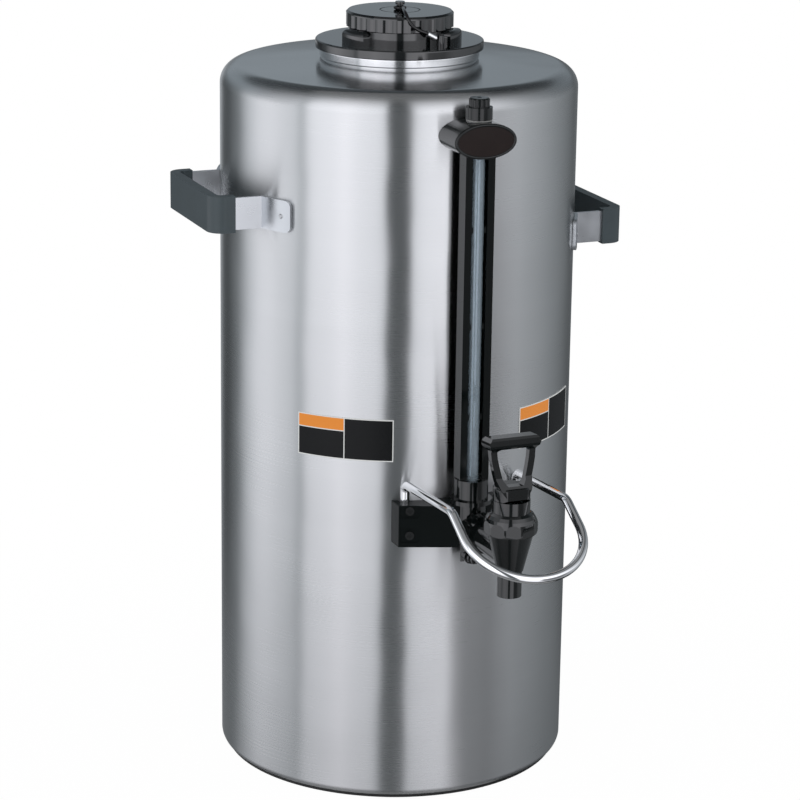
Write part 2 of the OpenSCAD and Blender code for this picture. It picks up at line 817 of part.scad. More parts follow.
stud_nut_r = 4.6;
head_stud_y = -(body_r + 4.5);
module head_stud() {
    color("gray") {
        along_y(-(shell_ir - 5), head_stud_y, head_z, stud_hole_r - 2 * fit_gap);
        translate([0, -(shell_ir - 4), head_z]) rotate([90, 0, 0]) cylinder(r = stud_nut_r, h = 3.4, $fn = 6);
    }
}

module gauge_guard() {
    front = gauge_y - tube_r;
    back = gauge_y + channel_back;
    color("#1c1d1f") difference() {
        channel_room(0, channel_z, channel_top);
        translate([-channel_w / 2 + channel_t, front + channel_t, channel_z - 1])
            cube([channel_w - 2 * channel_t, back - front - 2 * channel_t, channel_top]);
        translate([-slot_w / 2, front - 1, channel_z - 1]) cube([slot_w, 2 * channel_t, channel_top]);
    }
}

module sight_tube() {
    color("lightblue", 0.5) translate([0, gauge_y, tube_z]) ring(tube_r - tube_t, tube_r, tube_top - tube_z);
}

clip_zs = [288, 352, 419];
module tube_clips() {
    clip_h = 4;
    color("#2a2b2d") for (z = clip_zs) translate([0, gauge_y, z - clip_h / 2]) difference() {
        translate([-channel_w / 2 + channel_t + fit_gap, -tube_r + channel_t + fit_gap, 0])
            cube([channel_w - 2 * channel_t - 2 * fit_gap, channel_back + tube_r - 2 * channel_t - 2 * fit_gap, clip_h]);
        translate([0, 0, -1]) cylinder(r = tube_r + fit_gap, h = clip_h + 2);
        translate([-tube_r + 0.6, -2 * tube_r, -1]) cube([2 * tube_r - 1.2, 2 * tube_r, clip_h + 2]);
    }
}

module tube_seal_upper() {
    color("gray") translate([0, gauge_y, tube_top - seal_h]) ring(tube_r + fit_gap, seal_r, seal_h);
}

module tube_seal_lower() {
    color("gray") translate([0, gauge_y, tube_z]) ring(tube_r + fit_gap, seal_r, seal_h);
}

module gauge_fitting() {
    color("#1c1d1f") translate([0, gauge_y, 0]) difference() {
        union() {
            translate([0, 0, fitting_z]) cylinder(d = fitting_d, h = fitting_h);
            translate([0, 0, fitting_z]) cylinder(d = fitting_ring_d, h = fitting_ring_h);
            translate([0, 0, inlet_z + shank_r + fit_gap]) cylinder(r = vent_bore_r + 2, h = fitting_z - inlet_z - shank_r);
        }
        translate([0, 0, tube_z]) cylinder(r = seal_r + fit_gap, h = fitting_h);
        translate([0, 0, inlet_z]) cylinder(r = tube_r - tube_t, h = fitting_top - inlet_z);
        translate([0, -gauge_y, 0]) cylinder(r = seat_r, h = 2 * fitting_top, $fn = BIG_FN);
    }
}

// The plug screws into the tee's lower end from the front
module drain_plug() {
    z = cover_z - drain_drop;
    color("#1c1d1f") difference() {
        union() {
            along_y(drain_y, drain_y - 4, z, drain_d / 2);
            translate([0, drain_y - 4, z]) rotate([90, 0, 0]) cylinder(d1 = drain_d - 1.6, d2 = drain_d - 2.2, h = 4);
            along_y(drain_y + 4.8, drain_y, z, drain_d / 2 - 1.6);
        }
        translate([-0.6, drain_y - 8.6, z - drain_d]) cube([1.2, 2, 2 * drain_d]);
    }
}

module vent_seal() {
    color("gray") translate([0, gauge_y, vent_z]) ring(vent_bore_r + 0.4, vent_neck_r, 0.8);
}

module vent_cap() {
    z = vent_z + 0.8 + fit_gap;
    knob_r = vent_knob_d / 2;
    color("#1c1d1f") translate([0, gauge_y, 0]) difference() {
        union() {
            translate([0, 0, z]) cylinder(d = vent_d, h = vent_h);
            translate([0, 0, z + vent_h]) cylinder(r = knob_r, h = vent_knob_h - 1);
            translate([0, 0, z + vent_h + vent_knob_h - 1]) cylinder(r1 = knob_r, r2 = knob_r - 1, h = 1);
            translate([0, 0, z - 6]) cylinder(r = vent_bore_r, h = 6 + eps);
        }
        for (i = [0:knurl_n - 1]) rotate([0, 0, 360 * i / knurl_n])
            translate([knob_r + 0.4, 0, z + vent_h + 0.6]) cylinder(r = 1, h = vent_knob_h);
        translate([0, 0, z - 7]) cylinder(r = 1.5, h = vent_h + vent_knob_h + 8);
    }
}

// ---- bracket, shank and tee ---------------------------------------------

// Plan of the bracket cover, drawn in by t
module cover_plan(t) {
    half = cover_w / 2 - t;
    front = cover_y + t / cos(cover_lean);
    polygon([
        [-half, -body_r / 2], [-half, front + half * cover_slope], [0, front],
        [half, front + half * cover_slope], [half, -body_r / 2]
    ]);
}

// Places a child on the wing of side s, z outwards from its face at distance x
module on_wing(s, x, z) {
    translate([s * x, cover_y + x * cover_slope, z])
        rotate([90, 0, s * cover_lean]) children();
}

recess_reach = 13.5;
recess_h = 10.6;
recess_depth = 0.7;
recess_round = 2.5;
cover_step = 1;

// Pad round a screw, open to the wing's outer edge
module screw_pad() {
    translate([-recess_reach / 2, 0]) rounded_tab(recess_reach, recess_h, recess_round);
}

module bracket_cover() {
    color("#1c1d1f") difference() {
        translate([0, 0, cover_z]) linear_extrude(cover_h) cover_plan(0);
        translate([0, 0, cover_z + cover_t]) linear_extrude(cover_h - 2 * cover_t) cover_plan(cover_t);
        cylinder(r = seat_r, h = 2 * cover_top, $fn = BIG_FN);
        translate([0, gauge_y, cover_z - 1]) cylinder(r = tee_r + seat_gap, h = cover_h + 2);
        along_y(-body_r / 2, 2 * cover_y, inlet_z, tee_boss_r + seat_gap);
        for (s = [-1, 1]) {
            translate([s * leg_x, foot_y, cover_top - 2 * cover_t]) cylinder(r = rod_r + seat_gap, h = 3 * cover_t);
            translate([s * leg_x - rod_r - seat_gap, foot_y, cover_top - 2 * cover_t])
                cube([rod_d + 2 * seat_gap, rod_d, 3 * cover_t]);
            translate([s * cover_w / 2 - s * recess_reach - recess_reach, -2 * body_r, cover_top - cover_step])
                cube([2 * recess_reach, 2 * body_r, 2 * cover_step]);
            for (k = [0, 1]) on_wing(s, screw_x, inlet_z + screw_rise - k * screw_pitch) {
                translate([0, 0, -recess_depth]) linear_extrude(2 * recess_depth) mirror([s > 0 ? 1 : 0, 0]) screw_pad();
                translate([0, 0, -2 * cover_t]) cylinder(d = screw_head_d / 2 + 2 * fit_gap, h = 3 * cover_t);
            }
        }
    }
}

module bracket_screws() {
    color("#151617") for (s = [-1, 1], k = [0, 1]) on_wing(s, screw_x, inlet_z + screw_rise - k * screw_pitch) {
        difference() {
            union() {
                translate([0, 0, -recess_depth + fit_gap]) cylinder(d = screw_head_d, h = 1.6);
                translate([0, 0, -screw_reach]) cylinder(d = screw_head_d / 2, h = screw_reach);
            }
            translate([-0.5, -screw_head_d / 4, 0.4]) cube([1, screw_head_d / 2, 2]);
            translate([-screw_head_d / 4, -0.5, 0.4]) cube([screw_head_d / 2, 1, 2]);
        }
    }
}
screw_reach = 6.4;

module mount_plate() {
    color("silver") difference() {
        translate([0, 0, cover_z + cover_t + seat_gap])
            shell_plate(-plate_az, plate_az, seat_r, plate_t, cover_h - 2 * cover_t - 2 * seat_gap);
        along_y(-body_r / 2, 2 * cover_y, inlet_z, shank_r + free_gap);
        for (s = [-1, 1]) translate([s * leg_x, foot_y, rod_end_z]) cylinder(r = rod_r + fit_gap, h = cover_h);
    }
}

module gauge_tee() {
    z = cover_z - drain_drop;
    elbow_r = drain_d / 2 + 1;
    elbow_y = gauge_y + 5.4;
    color("#1c1d1f") difference() {
        union() {
            translate([0, gauge_y, cover_z + cover_t]) cylinder(r = tee_r, h = cover_h - cover_t);
            along_y(-(seat_r + plate_t + seat_gap), tee_front_y, inlet_z, tee_boss_r);
            translate([0, elbow_y, z]) cylinder(r = elbow_r, h = drain_drop + cover_t + 1);
            intersection() {
                translate([0, elbow_y, z - elbow_r]) cylinder(r = elbow_r, h = elbow_r + eps);
                translate([-elbow_r, elbow_y, z]) rotate([0, 90, 0]) cylinder(r = elbow_r, h = 2 * elbow_r);
            }
            along_y(elbow_y, drain_y + seat_gap, z, elbow_r);
        }
        along_y(-body_r / 2, 2 * cover_y, inlet_z, shank_r + fit_gap);
        translate([0, gauge_y, inlet_z]) cylinder(r = vent_bore_r + 2 + fit_gap, h = cover_h);
        translate([0, elbow_y, z]) cylinder(r = drain_d / 2 - 1.6, h = inlet_z - z);
        along_y(elbow_y, drain_y - 1, z, drain_d / 2 - 1.6 + fit_gap);
    }
}

module shank() {
    inner = -(tank_ir - 3.4);
    end = tap_y + body_top_d / 2 + 1;
    color("gray") difference() {
        union() {
            along_y(inner + 2, inner, inlet_z, shank_head_r);
            along_y(inner + eps, end, inlet_z, shank_r);
        }
        along_y(inner + 3, end - 1, inlet_z, shank_bore / 2);
        translate([0, gauge_y, inlet_z]) cylinder(r = tube_r - tube_t, h = shank_r + 1);
    }
}

module shank_gasket() {
    inner = -(tank_ir - 3.4);
    color("dimgray") intersection() {
        difference() {
            along_y(inner, -tank_r, inlet_z, shank_head_r);
            along_y(inner + 1, -tank_r - 1, inlet_z, shank_r + fit_gap);
        }
        cylinder(r = tank_ir - fit_gap, h = 2 * inlet_z, $fn = BIG_FN);
    }
}

module shank_nut() {
    color("silver") translate([0, -(tank_r + seat_gap), inlet_z]) rotate([90, 0, 0]) difference() {
        cylinder(r = shank_head_r, h = 5, $fn = 6);
        translate([0, 0, -1]) cylinder(r = shank_r + fit_gap, h = 7);
    }
}

module coupling_nut() {
    r = coupling_d / 2;
    rib_r = 1.6;
    color("#1c1d1f") translate([0, coupling_y, inlet_z]) rotate([90, 0, 0]) difference() {
        union() {
            cylinder(r = r - rib_r, h = coupling_l);
            for (i = [0:coupling_n - 1]) rotate([0, 0, 360 * i / coupling_n])
                translate([r - rib_r, 0, 0]) cylinder(r = rib_r, h = coupling_l - 2, $fn = 32);
        }
        translate([0, 0, -1]) cylinder(r = shank_r + fit_gap, h = coupling_l + 2);
    }
}

// ---- tap ----------------------------------------------------------------

module tap_body() {
    top_r = body_top_d / 2;
    boss_y = coupling_y - coupling_l - seat_gap;
    chamber_top_r = top_r - tap_wall;
    color("#1c1d1f") difference() {
        union() {
            translate([0, tap_y, 0]) rotate_extrude() polygon([
                [0, spout_z], [spout_r, spout_z], [spout_r, spout_top], [spout_r + 0.8, spout_top + 1],
                [top_r, tap_top], [0, tap_top]
            ]);
            along_y(boss_y, tap_y, inlet_z, tap_boss_r);
        }
        translate([0, tap_y, 0]) rotate_extrude() polygon([
            [0, seat_z], [cup_r + 1.2, seat_z], [chamber_top_r, tap_top - 3], [chamber_top_r, tap_top + 1], [0, tap_top + 1]
        ]);
        translate([0, tap_y, spout_z - 1]) cylinder(d = spout_bore, h = seat_z - spout_z + 2);
        along_y(boss_y + 1, tap_y + body_top_d / 2 + 0.5, inlet_z, shank_r + fit_gap);
        along_y(boss_y + 1, tap_y, inlet_z, shank_bore / 2);
    }
}

module bonnet() {
    inside_r = body_top_d / 2 - tap_wall - fit_gap;
    r = collar_w / 2;
    neck = bonnet_d / 2;
    h = collar_nut_h;
    color("#1c1d1f") translate([0, tap_y, 0]) difference() {
        union() {
            intersection() {
                translate([0, 0, bonnet_z]) linear_extrude(h)
                    polygon([for (i = [0:collar_n - 1]) let (a = 360 * (i + 0.5) / collar_n + 90 - 180 / collar_n)
                        r / cos(180 / collar_n) * [cos(a), sin(a)]]);
                translate([0, 0, bonnet_z]) rotate_extrude() polygon([
                    [0, 0], [r - 0.2, 0], [r + 0.7, 1.2], [r + 0.7, 0.44 * h], [r + 0.2, 0.61 * h],
                    [r - 0.8, 0.76 * h], [(r + neck) / 2, 0.91 * h], [neck + 0.2, h], [0, h]
                ]);
            }
            translate([0, 0, bonnet_neck_z - eps]) cylinder(d = bonnet_d, h = bonnet_h + eps);
            translate([0, 0, bonnet_z - 2.5]) cylinder(r = inside_r, h = 2.5 + eps);
        }
        translate([0, 0, bonnet_z - 3]) cylinder(r = spring_r + spring_wire, h = spring_top - bonnet_z + 3);
        translate([0, 0, bonnet_z]) cylinder(r = stem_r + run_gap, h = 2 * h);
    }
}

module tap_stem() {
    color("silver") translate([0, tap_y, 0]) difference() {
        union() {
            translate([0, 0, seat_z + 3]) cylinder(r = stem_r, h = pin_z - seat_z - 3);
            intersection() {
                translate([0, 0, pin_z - 1]) cylinder(r = stem_r, h = stem_r + 1);
                translate([-stem_r, 0, pin_z]) rotate([0, 90, 0]) cylinder(r = stem_r, h = stem_d);
            }
            translate([0, 0, spring_z - 1.5]) cylinder(r = spring_r + spring_wire / 2, h = 1.5 - fit_gap);
        }
        translate([-stem_d, 0, pin_z]) rotate([0, 90, 0]) cylinder(r = pin_r + run_gap, h = 2 * stem_d);
    }
}

module seat_cup() {
    color("dimgray") translate([0, tap_y, seat_z + 0.1]) difference() {
        union() {
            cylinder(r = cup_r, h = 5);
            translate([0, 0, 5 - eps]) cylinder(r = stem_r + 1.6, h = 4);
        }
        translate([0, 0, 2.9 - fit_gap]) cylinder(r = stem_r + fit_gap, h = 8);
    }
}

module tap_spring() {
    n = 14 * spring_turns;
    low = spring_z + spring_wire / 2;
    high = spring_top - spring_wire / 2 - fit_gap;
    color("silver") translate([0, tap_y, 0]) rod(
        [for (i = [0:n]) [spring_r * cos(360 * spring_turns * i / n), spring_r * sin(360 * spring_turns * i / n),
            low + (high - low) * i / n]],
        spring_wire / 2 * 0.94, 8, [0, 0, 1]);
}

// Half outline of the handle's front, counted from the pin: [half width, height]
function handle_edge(w, h, bar) = [
    [7.2, -4], [9.2, -1], [11.4, 3], [12.9, 8.5], [14.5, 15.6], [15.8, 22.5], [w / 2 - 2.4, h - bar - 0.4],
    [w / 2 - 0.8, h - bar + 1.6], [w / 2, h - bar + 4], [w / 2 - 0.4, h - 2.6], [w / 2 - 2.4, h]
];

// Half outline of the finger opening
function opening_edge(w, h, bar) = [
    [5.6, 4.4], [8, 8], [9.8, 15.6], [11.2, 22.5], [w / 2 - 7, h - bar - 2.4], [w / 2 - 7.6, h - bar - 0.8],
    [w / 2 - 9.4, h - bar]
];

// A closed outline from its half with x > 0
module both_halves(edge) {
    polygon([for (p = edge) p, for (i = [len(edge) - 1:-1:0]) [-edge[i][0], edge[i][1]]]);
}

// The frame seen from the side: a thin plate with a deep bar on top; [back, height]
module frame_side(h, bar, t, bar_t) {
    front = -4.2;
    polygon([
        [-hub_front + 0.6, -4], [-hub_front + 0.6, 1.4], [front, 10], [front, h - bar - 1.6],
        [front - 3.6, h - bar + 1.2], [front - 4.4, h - bar + 3], [front - 4.4, h - 1.6], [front - 3.2, h],
        [front - 4.4 + bar_t - 1.6, h], [front - 4.4 + bar_t, h - 1.6], [front - 4.4 + bar_t, h - bar + 2],
        [front - 4.4 + bar_t - 1.6, h - bar], [front + t, h - bar], [front + t, -4]
    ]);
}

module tap_handle() {
    half_slot = stem_r + lift_gap;
    color("#1c1d1f") translate([0, tap_y, pin_z]) difference() {
        union() {
            intersection() {
                rotate([-handle_lean, 0, 0]) intersection() {
                    translate([0, 2 * hub_r, 0]) rotate([90, 0, 0]) linear_extrude(4 * hub_r) difference() {
                        both_halves(handle_edge(grip_bar_w, handle_rise, grip_bar_h));
                        both_halves(opening_edge(grip_bar_w, handle_rise, grip_bar_h));
                    }
                    translate([-grip_bar_w, 0, 0]) rotate([90, 0, 90]) linear_extrude(2 * grip_bar_w)
                        frame_side(handle_rise, grip_bar_h, handle_t, grip_bar_t);
                }
                translate([-grip_bar_w, -hub_front, -hub_drop]) cube([2 * grip_bar_w, 4 * hub_r, 2 * handle_rise]);
            }
            difference() {
                union() {
                    translate([0, 0, -hub_drop]) cylinder(r = hub_r, h = hub_drop + hub_top - 1);
                    translate([0, 0, hub_top - 1]) cylinder(r1 = hub_r, r2 = hub_r - 1, h = 1);
                }
                translate([-2 * hub_r, -3 * hub_r - hub_front, -hub_r]) cube([4 * hub_r, 3 * hub_r, 4 * hub_r]);
            }
        }
        // underside that lies flat on the bonnet when the handle is pulled
        translate([0, -hub_rock, -hub_drop]) rotate([-hub_rock_angle, 0, 0])
            translate([-2 * hub_r, -2 * hub_r, -hub_r]) cube([4 * hub_r, 2 * hub_r, hub_r]);
        // room for the stem
        translate([-half_slot, -stem_room, -hub_drop - 1]) cube([2 * half_slot, 2 * stem_room, hub_drop + 1 + half_slot]);
        translate([-hub_r + 1.6, 0, 0]) rotate([0, 90, 0]) cylinder(r = pin_r + fit_gap, h = 2 * hub_r);
    }
}
hub_drop = pin_rise - lift_gap;
hub_top = 3.8;
hub_rock = 8;
hub_rock_angle = 31;
stem_room = 6.6;

module handle_pin() {
    translate([-hub_r + 1.6 + fit_gap, tap_y, pin_z]) rotate([0, 90, 0])
        color("silver") cylinder(r = pin_r, h = 2 * hub_r - 3.4);
}

// ---- wire guard ---------------------------------------------------------

module wire_guard() {
    reach = loop_straight + leg_x;
    down = [0, -cos(loop_slope), -sin(loop_slope)];
    side = [leg_x, 0, 0];
    bend = [0, bend_y, bend_z];
    far = bend + reach * down;
    low = [0, foot_y, rod_end_z + fit_gap];
    top = [0, foot_y, leg_z];
    route = rounded(
        [low + side, top + side, bend + side, far + side, far - side, bend - side, top - side, low - side],
        [6, 14, leg_x - 0.4, leg_x - 0.4, 14, 6],
        [5, 5, 12, 12, 5, 5]);
    color("white") rod(route, rod_r, 16, [0, -0.5, 0.866]);
}

// ---- carrying handles ---------------------------------------------------

// A band of thickness t whose outer faces lie d inside the grip's outer faces
module loop_plan(d, t) {
    difference() {
        rounded_tab(grip_x - d, grip_w - 2 * d, grip_corner_r - d);
        rounded_tab(grip_x - d - t, grip_w - 2 * d - 2 * t, max(grip_corner_r - d - t, 1));
    }
}

// Azimuths of the leg's outer face and of the flange's free end
leg_az = 90 - asin((grip_w / 2 - strap_gap) / seat_r);
flange_end_az = leg_az - flange_span;
flange_root = 0.9;

module strap_plan() {
    difference() {
        union() {
            loop_plan(strap_gap, strap_t);
            for (s = [0, 1]) mirror([0, s]) intersection() {
                circle(r = seat_r + strap_t, $fn = BIG_FN);
                wedge(flange_end_az, leg_az + flange_root, 2 * body_r);
            }
        }
        circle(r = seat_r, $fn = BIG_FN);
    }
}

// What is cut off the upper corner of a flange's free end
module flange_corner() {
    rotate([0, 0, flange_end_az]) translate([0, -seat_r + strap_t, strap_h / 2]) rotate([90, 0, 0])
        linear_extrude(3 * strap_t) difference() {
            translate([-1, -flange_corner_r]) square(flange_corner_r + 1);
            translate([flange_corner_r, -flange_corner_r]) circle(r = flange_corner_r + fit_gap);
        }
}

module strap() {
    color("silver") difference() {
        translate([0, 0, -strap_h / 2]) linear_extrude(strap_h) strap_plan();
        for (s = [0, 1], k = [0, 1]) mirror([0, s, 0]) mirror([0, 0, k]) flange_corner();
    }
}

module grip() {
    color("#2b3033") difference() {
        translate([0, 0, -grip_h / 2]) linear_extrude(grip_h) intersection() {
            loop_plan(0, grip_t);
            translate([grip_x - grip_leg, -grip_w]) square([grip_leg + 1, 2 * grip_w]);
        }
        translate([0, 0, -strap_h / 2 - fit_gap]) linear_extrude(strap_h + 2 * fit_gap)
            loop_plan(strap_gap - fit_gap, strap_t + 2 * fit_gap);
    }
}

module strap_left() { translate([0, 0, left_z]) mirror([1, 0, 0]) strap(); }
module strap_right() { translate([0, 0, right_z]) strap(); }
module grip_left() { translate([0, 0, left_z]) mirror([1, 0, 0]) grip(); }
module grip_right() { translate([0, 0, right_z]) grip(); }

module strap_rivets() {
    az = flange_end_az + rivet_inset;
    color("silver") for (a = [az, 180 - az]) {
        rivet(a, right_z);
        rivet(-a, left_z);
    }
}

rivet_inset = 3.6;

module rivet(az, z) {
    rotate([0, 0, az]) translate([0, -(seat_r + strap_t), z]) rotate([90, 0, 0])
        cylinder(d1 = rivet_d, d2 = rivet_d * 0.7, h = 0.5);
}

// ---- label panels -------------------------------------------------------

module label_left() {
    color("#222222") translate([0, 0, label_z])
        shell_plate(-label_left_az, -label_left_in, body_r + fit_gap, label_t, label_h);
}

module label_right() {
    color("#222222") translate([0, 0, label_z])
        shell_plate(label_right_in, label_right_az, body_r + fit_gap, label_t, label_h);
}

// ---- the whole urn ------------------------------------------------------

outer_shell();
deck();
foot_ring();
base_pan();
tank();
insulation();
neck_collar();
lid();
lid_gasket();
fill_funnel();
tether_anchor();
cap_seal();
tether_ring();
tether();
tether_crimp();
screw_cap();
cap_stud();
gauge_head();
badge_plate();
head_stud();
gauge_guard();
sight_tube();
tube_clips();
tube_seal_upper();
tube_seal_lower();
gauge_fitting();
drain_plug();
vent_seal();
vent_cap();
mount_plate();
bracket_cover();
bracket_screws();
gauge_tee();
shank();
shank_gasket();
shank_nut();
coupling_nut();
tap_body();
bonnet();
tap_stem();
seat_cup();
tap_spring();
tap_handle();
handle_pin();
wire_guard();
strap_left();
grip_left();
strap_right();
grip_right();
strap_rivets();
label_left();
label_right();
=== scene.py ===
"""Looks of an insulated coffee urn with a tap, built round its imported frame.

Everything is in metres in the frame's axes: +Z up along the body, the table at
z = 0 and the tap towards -Y. Azimuths are counted from -Y towards +X.
"""
import logging
import math
from dataclasses import dataclass
from enum import Enum
from typing import Optional, Sequence, Union

import bmesh
import bpy
from mathutils import Matrix, Vector


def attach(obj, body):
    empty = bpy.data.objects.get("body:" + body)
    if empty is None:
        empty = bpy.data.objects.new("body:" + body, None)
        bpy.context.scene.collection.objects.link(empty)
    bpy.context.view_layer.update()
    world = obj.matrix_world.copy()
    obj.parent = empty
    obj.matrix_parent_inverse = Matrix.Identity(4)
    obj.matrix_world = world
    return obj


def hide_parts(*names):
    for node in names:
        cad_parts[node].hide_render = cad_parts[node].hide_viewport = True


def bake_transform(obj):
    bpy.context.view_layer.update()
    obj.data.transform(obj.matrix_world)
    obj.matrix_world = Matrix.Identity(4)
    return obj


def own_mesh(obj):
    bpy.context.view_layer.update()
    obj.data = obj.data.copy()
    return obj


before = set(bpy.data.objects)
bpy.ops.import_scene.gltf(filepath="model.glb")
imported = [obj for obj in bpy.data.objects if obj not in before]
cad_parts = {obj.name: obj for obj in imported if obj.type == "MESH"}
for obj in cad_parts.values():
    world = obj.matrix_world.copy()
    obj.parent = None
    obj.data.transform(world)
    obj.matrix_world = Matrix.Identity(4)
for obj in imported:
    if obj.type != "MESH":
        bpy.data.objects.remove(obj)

log = logging.getLogger("urn")

MM = 0.001
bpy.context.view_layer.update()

Number = Union[int, float]
Colour = tuple[float, float, float]
Stops = Sequence[tuple[float, Union[float, Colour]]]
Profile = tuple[tuple[float, float], ...]
Socket = bpy.types.NodeSocket


# ---------------------------------------------------------------- shader maths


class Op(Enum):
    """Math operations that expressions use."""

    ADD = "ADD"
    SUB = "SUBTRACT"
    MUL = "MULTIPLY"
    DIV = "DIVIDE"
    MAX = "MAXIMUM"
    SQRT = "SQRT"
    ATAN2 = "ARCTAN2"
    GREATER = "GREATER_THAN"


class Val:
    """A number socket that takes part in Python expressions."""

    def __init__(self, graph: "Graph", socket: Socket) -> None:
        """Wraps an output socket of the graph."""
        self.graph = graph
        self.socket = socket

    def op(self, operation: Op, *others: Union["Val", Number]) -> "Val":
        """Adds one Math node.

        Args:
            operation: what the node works out.
            others: its further operands.

        Returns:
            The node's value.
        """
        return self.graph.maths(operation, self, *others)

    def __add__(self, other: Union["Val", Number]) -> "Val":
        """self + other."""
        return self.op(Op.ADD, other)

    __radd__ = __add__

    def __sub__(self, other: Union["Val", Number]) -> "Val":
        """self - other."""
        return self.op(Op.SUB, other)

    def __rsub__(self, other: Number) -> "Val":
        """other - self."""
        return self.graph.maths(Op.SUB, other, self)

    def __mul__(self, other: Union["Val", Number]) -> "Val":
        """self * other."""
        return self.op(Op.MUL, other)

    def __truediv__(self, other: Union["Val", Number]) -> "Val":
        """self / other."""
        return self.op(Op.DIV, other)

    def __neg__(self) -> "Val":
        """-self."""
        return self.op(Op.MUL, -1.0)

    def __gt__(self, other: Union["Val", Number]) -> "Val":
        """1 where self > other, else 0."""
        return self.op(Op.GREATER, other)

    def __lt__(self, other: Union["Val", Number]) -> "Val":
        """1 where self < other, else 0."""
        return 1.0 - self.op(Op.GREATER, other)

    def within(self, low: float, high: float) -> "Val":
        """1 between low and high, else 0."""
        return (self > low) * (self < high)

    def step(self, low: float, high: float) -> "Val":
        """A smooth step from 0 at low to 1 at high."""
        node = self.graph.add(
            "ShaderNodeMapRange",
            {"interpolation_type": "SMOOTHSTEP"},
            {"Value": self, "From Min": low, "From Max": high},
        )
        return Val(self.graph, node.outputs["Result"])


class Graph:
    """The nodes of one material or of the world."""

    def __init__(self, tree: bpy.types.NodeTree) -> None:
        """Empties the tree."""
        self.tree = tree
        tree.nodes.clear()

    def add(
        self, kind: str, settings: Optional[dict] = None, inputs: Optional[dict] = None
    ) -> bpy.types.Node:
        """Adds a node of any type.

        Args:
            kind: the node's type.
            settings: its own settings, and "stops" for a ramp; they are set first.
            inputs: what goes into its sockets, by name or number: values or links.

        Returns:
            The new node.
        """
        node = self.tree.nodes.new(kind)
        for name, value in (settings or {}).items():
            if name == "stops":
                self._stops(node.color_ramp, value)
            else:
                setattr(node, name, value)
        for key, value in (inputs or {}).items():
            socket = node.inputs[key]
            if isinstance(value, Val):
                self.tree.links.new(value.socket, socket)
            elif isinstance(value, Socket):
                self.tree.links.new(value, socket)
            elif isinstance(value, tuple) and len(value) == 3 and socket.type == "RGBA":
                socket.default_value = (*value, 1.0)
            else:
                socket.default_value = value
        return node

    @staticmethod
    def _stops(ramp: bpy.types.ColorRamp, stops: Stops) -> None:
        """Gives a ramp its stops, grey where a stop is one number."""
        while len(ramp.elements) < len(stops):
            ramp.elements.new(1.0)
        for element, (place, value) in zip(ramp.elements, stops):
            element.position = place
            colour = (value,) * 3 if isinstance(value, (int, float)) else value
            element.color = (*colour, 1.0)

    def maths(self, operation: Op, *values: Union[Val, Number]) -> Val:
        """One Math node on values."""
        node = self.add("ShaderNodeMath", {"operation": operation.value}, dict(enumerate(values)))
        return Val(self, node.outputs[0])

    def place(self) -> Socket:
        """The place in the piece's own axes, in metres."""
        return self.add("ShaderNodeTexCoord").outputs["Object"]

    def xyz(self) -> tuple[Val, Val, Val]:
        """The three coordinates of the place."""
        split = self.add("ShaderNodeSeparateXYZ", None, {0: self.place()})
        return tuple(Val(self, out) for out in split.outputs)

    def vector(self, x: Union[Val, Number], y: Union[Val, Number], z: Union[Val, Number]) -> Socket:
        """A vector of three values."""
        return self.add("ShaderNodeCombineXYZ", None, {0: x, 1: y, 2: z}).outputs[0]

    def noise(self, at: Socket, scale: float, detail: float = 2.0, rough: float = 0.5) -> Val:
        """Fractal noise from 0 to 1 at a place."""
        node = self.add(
            "ShaderNodeTexNoise", None, {"Vector": at, "Scale": scale, "Detail": detail, "Roughness": rough}
        )
        return Val(self, node.outputs[0])

    def ramp(self, value: Val, stops: Stops) -> Socket:
        """A colour that a ramp gives for a value."""
        return self.add("ShaderNodeValToRGB", {"stops": stops}, {0: value}).outputs[0]

    def mix(self, share: Union[Val, Number], a: Union[Colour, Socket], b: Union[Colour, Socket]) -> Socket:
        """Colour a where share is 0 and b where it is 1."""
        node = self.add("ShaderNodeMix", {"data_type": "RGBA"}, {"Factor": share})
        for name, value in (("A", a), ("B", b)):
            socket = next(s for s in node.inputs if s.name == name and s.type == "RGBA")
            if isinstance(value, Socket):
                self.tree.links.new(value, socket)
            else:
                socket.default_value = (*value, 1.0)
        return next(s for s in node.outputs if s.type == "RGBA")

    def bump(self, height: Val, depth: float, normal: Optional[Socket] = None) -> Socket:
        """Normals of a relief.

        Args:
            height: the relief, from 0 to 1.
            depth: its height in metres.
            normal: the normals it lies on.

        Returns:
            The normals.
        """
        inputs = {"Height": height, "Distance": depth, "Strength": 1.0}
        if normal is not None:
            inputs["Normal"] = normal
        return self.add("ShaderNodeBump", None, inputs).outputs[0]

    def shader(self, inputs: dict) -> bpy.types.Node:
        """The shader of a solid surface."""
        return self.add("ShaderNodeBsdfPrincipled", None, inputs)

    def output(self, shader: bpy.types.Node) -> None:
        """Makes a shader the material's surface."""
        self.add("ShaderNodeOutputMaterial", None, {"Surface": shader.outputs[0]})

    def surface(self, inputs: dict) -> None:
        """A solid surface in one step."""
        self.output(self.shader(inputs))


# ---------------------------------------------------------------- finishes


def scaled(colour: Colour, share: float) -> Colour:
    """A colour times a number."""
    return tuple(c * share for c in colour)


class Grain(Enum):
    """Which way a metal is brushed."""

    ROUND = "round the Z axis"
    ALONG = "along the length of a strap"


@dataclass(frozen=True)
class Finish:
    """What every finish has: a name and one method that fills its graph."""

    name: str

    def fill(self, graph: Graph) -> None:
        """Adds the finish's nodes."""
        raise NotImplementedError

    def material(self) -> bpy.types.Material:
        """The finish's material, made once."""
        known = bpy.data.materials.get(self.name)
        if known:
            return known
        made = bpy.data.materials.new(self.name)
        made.use_nodes = True
        self.fill(Graph(made.node_tree))
        return made


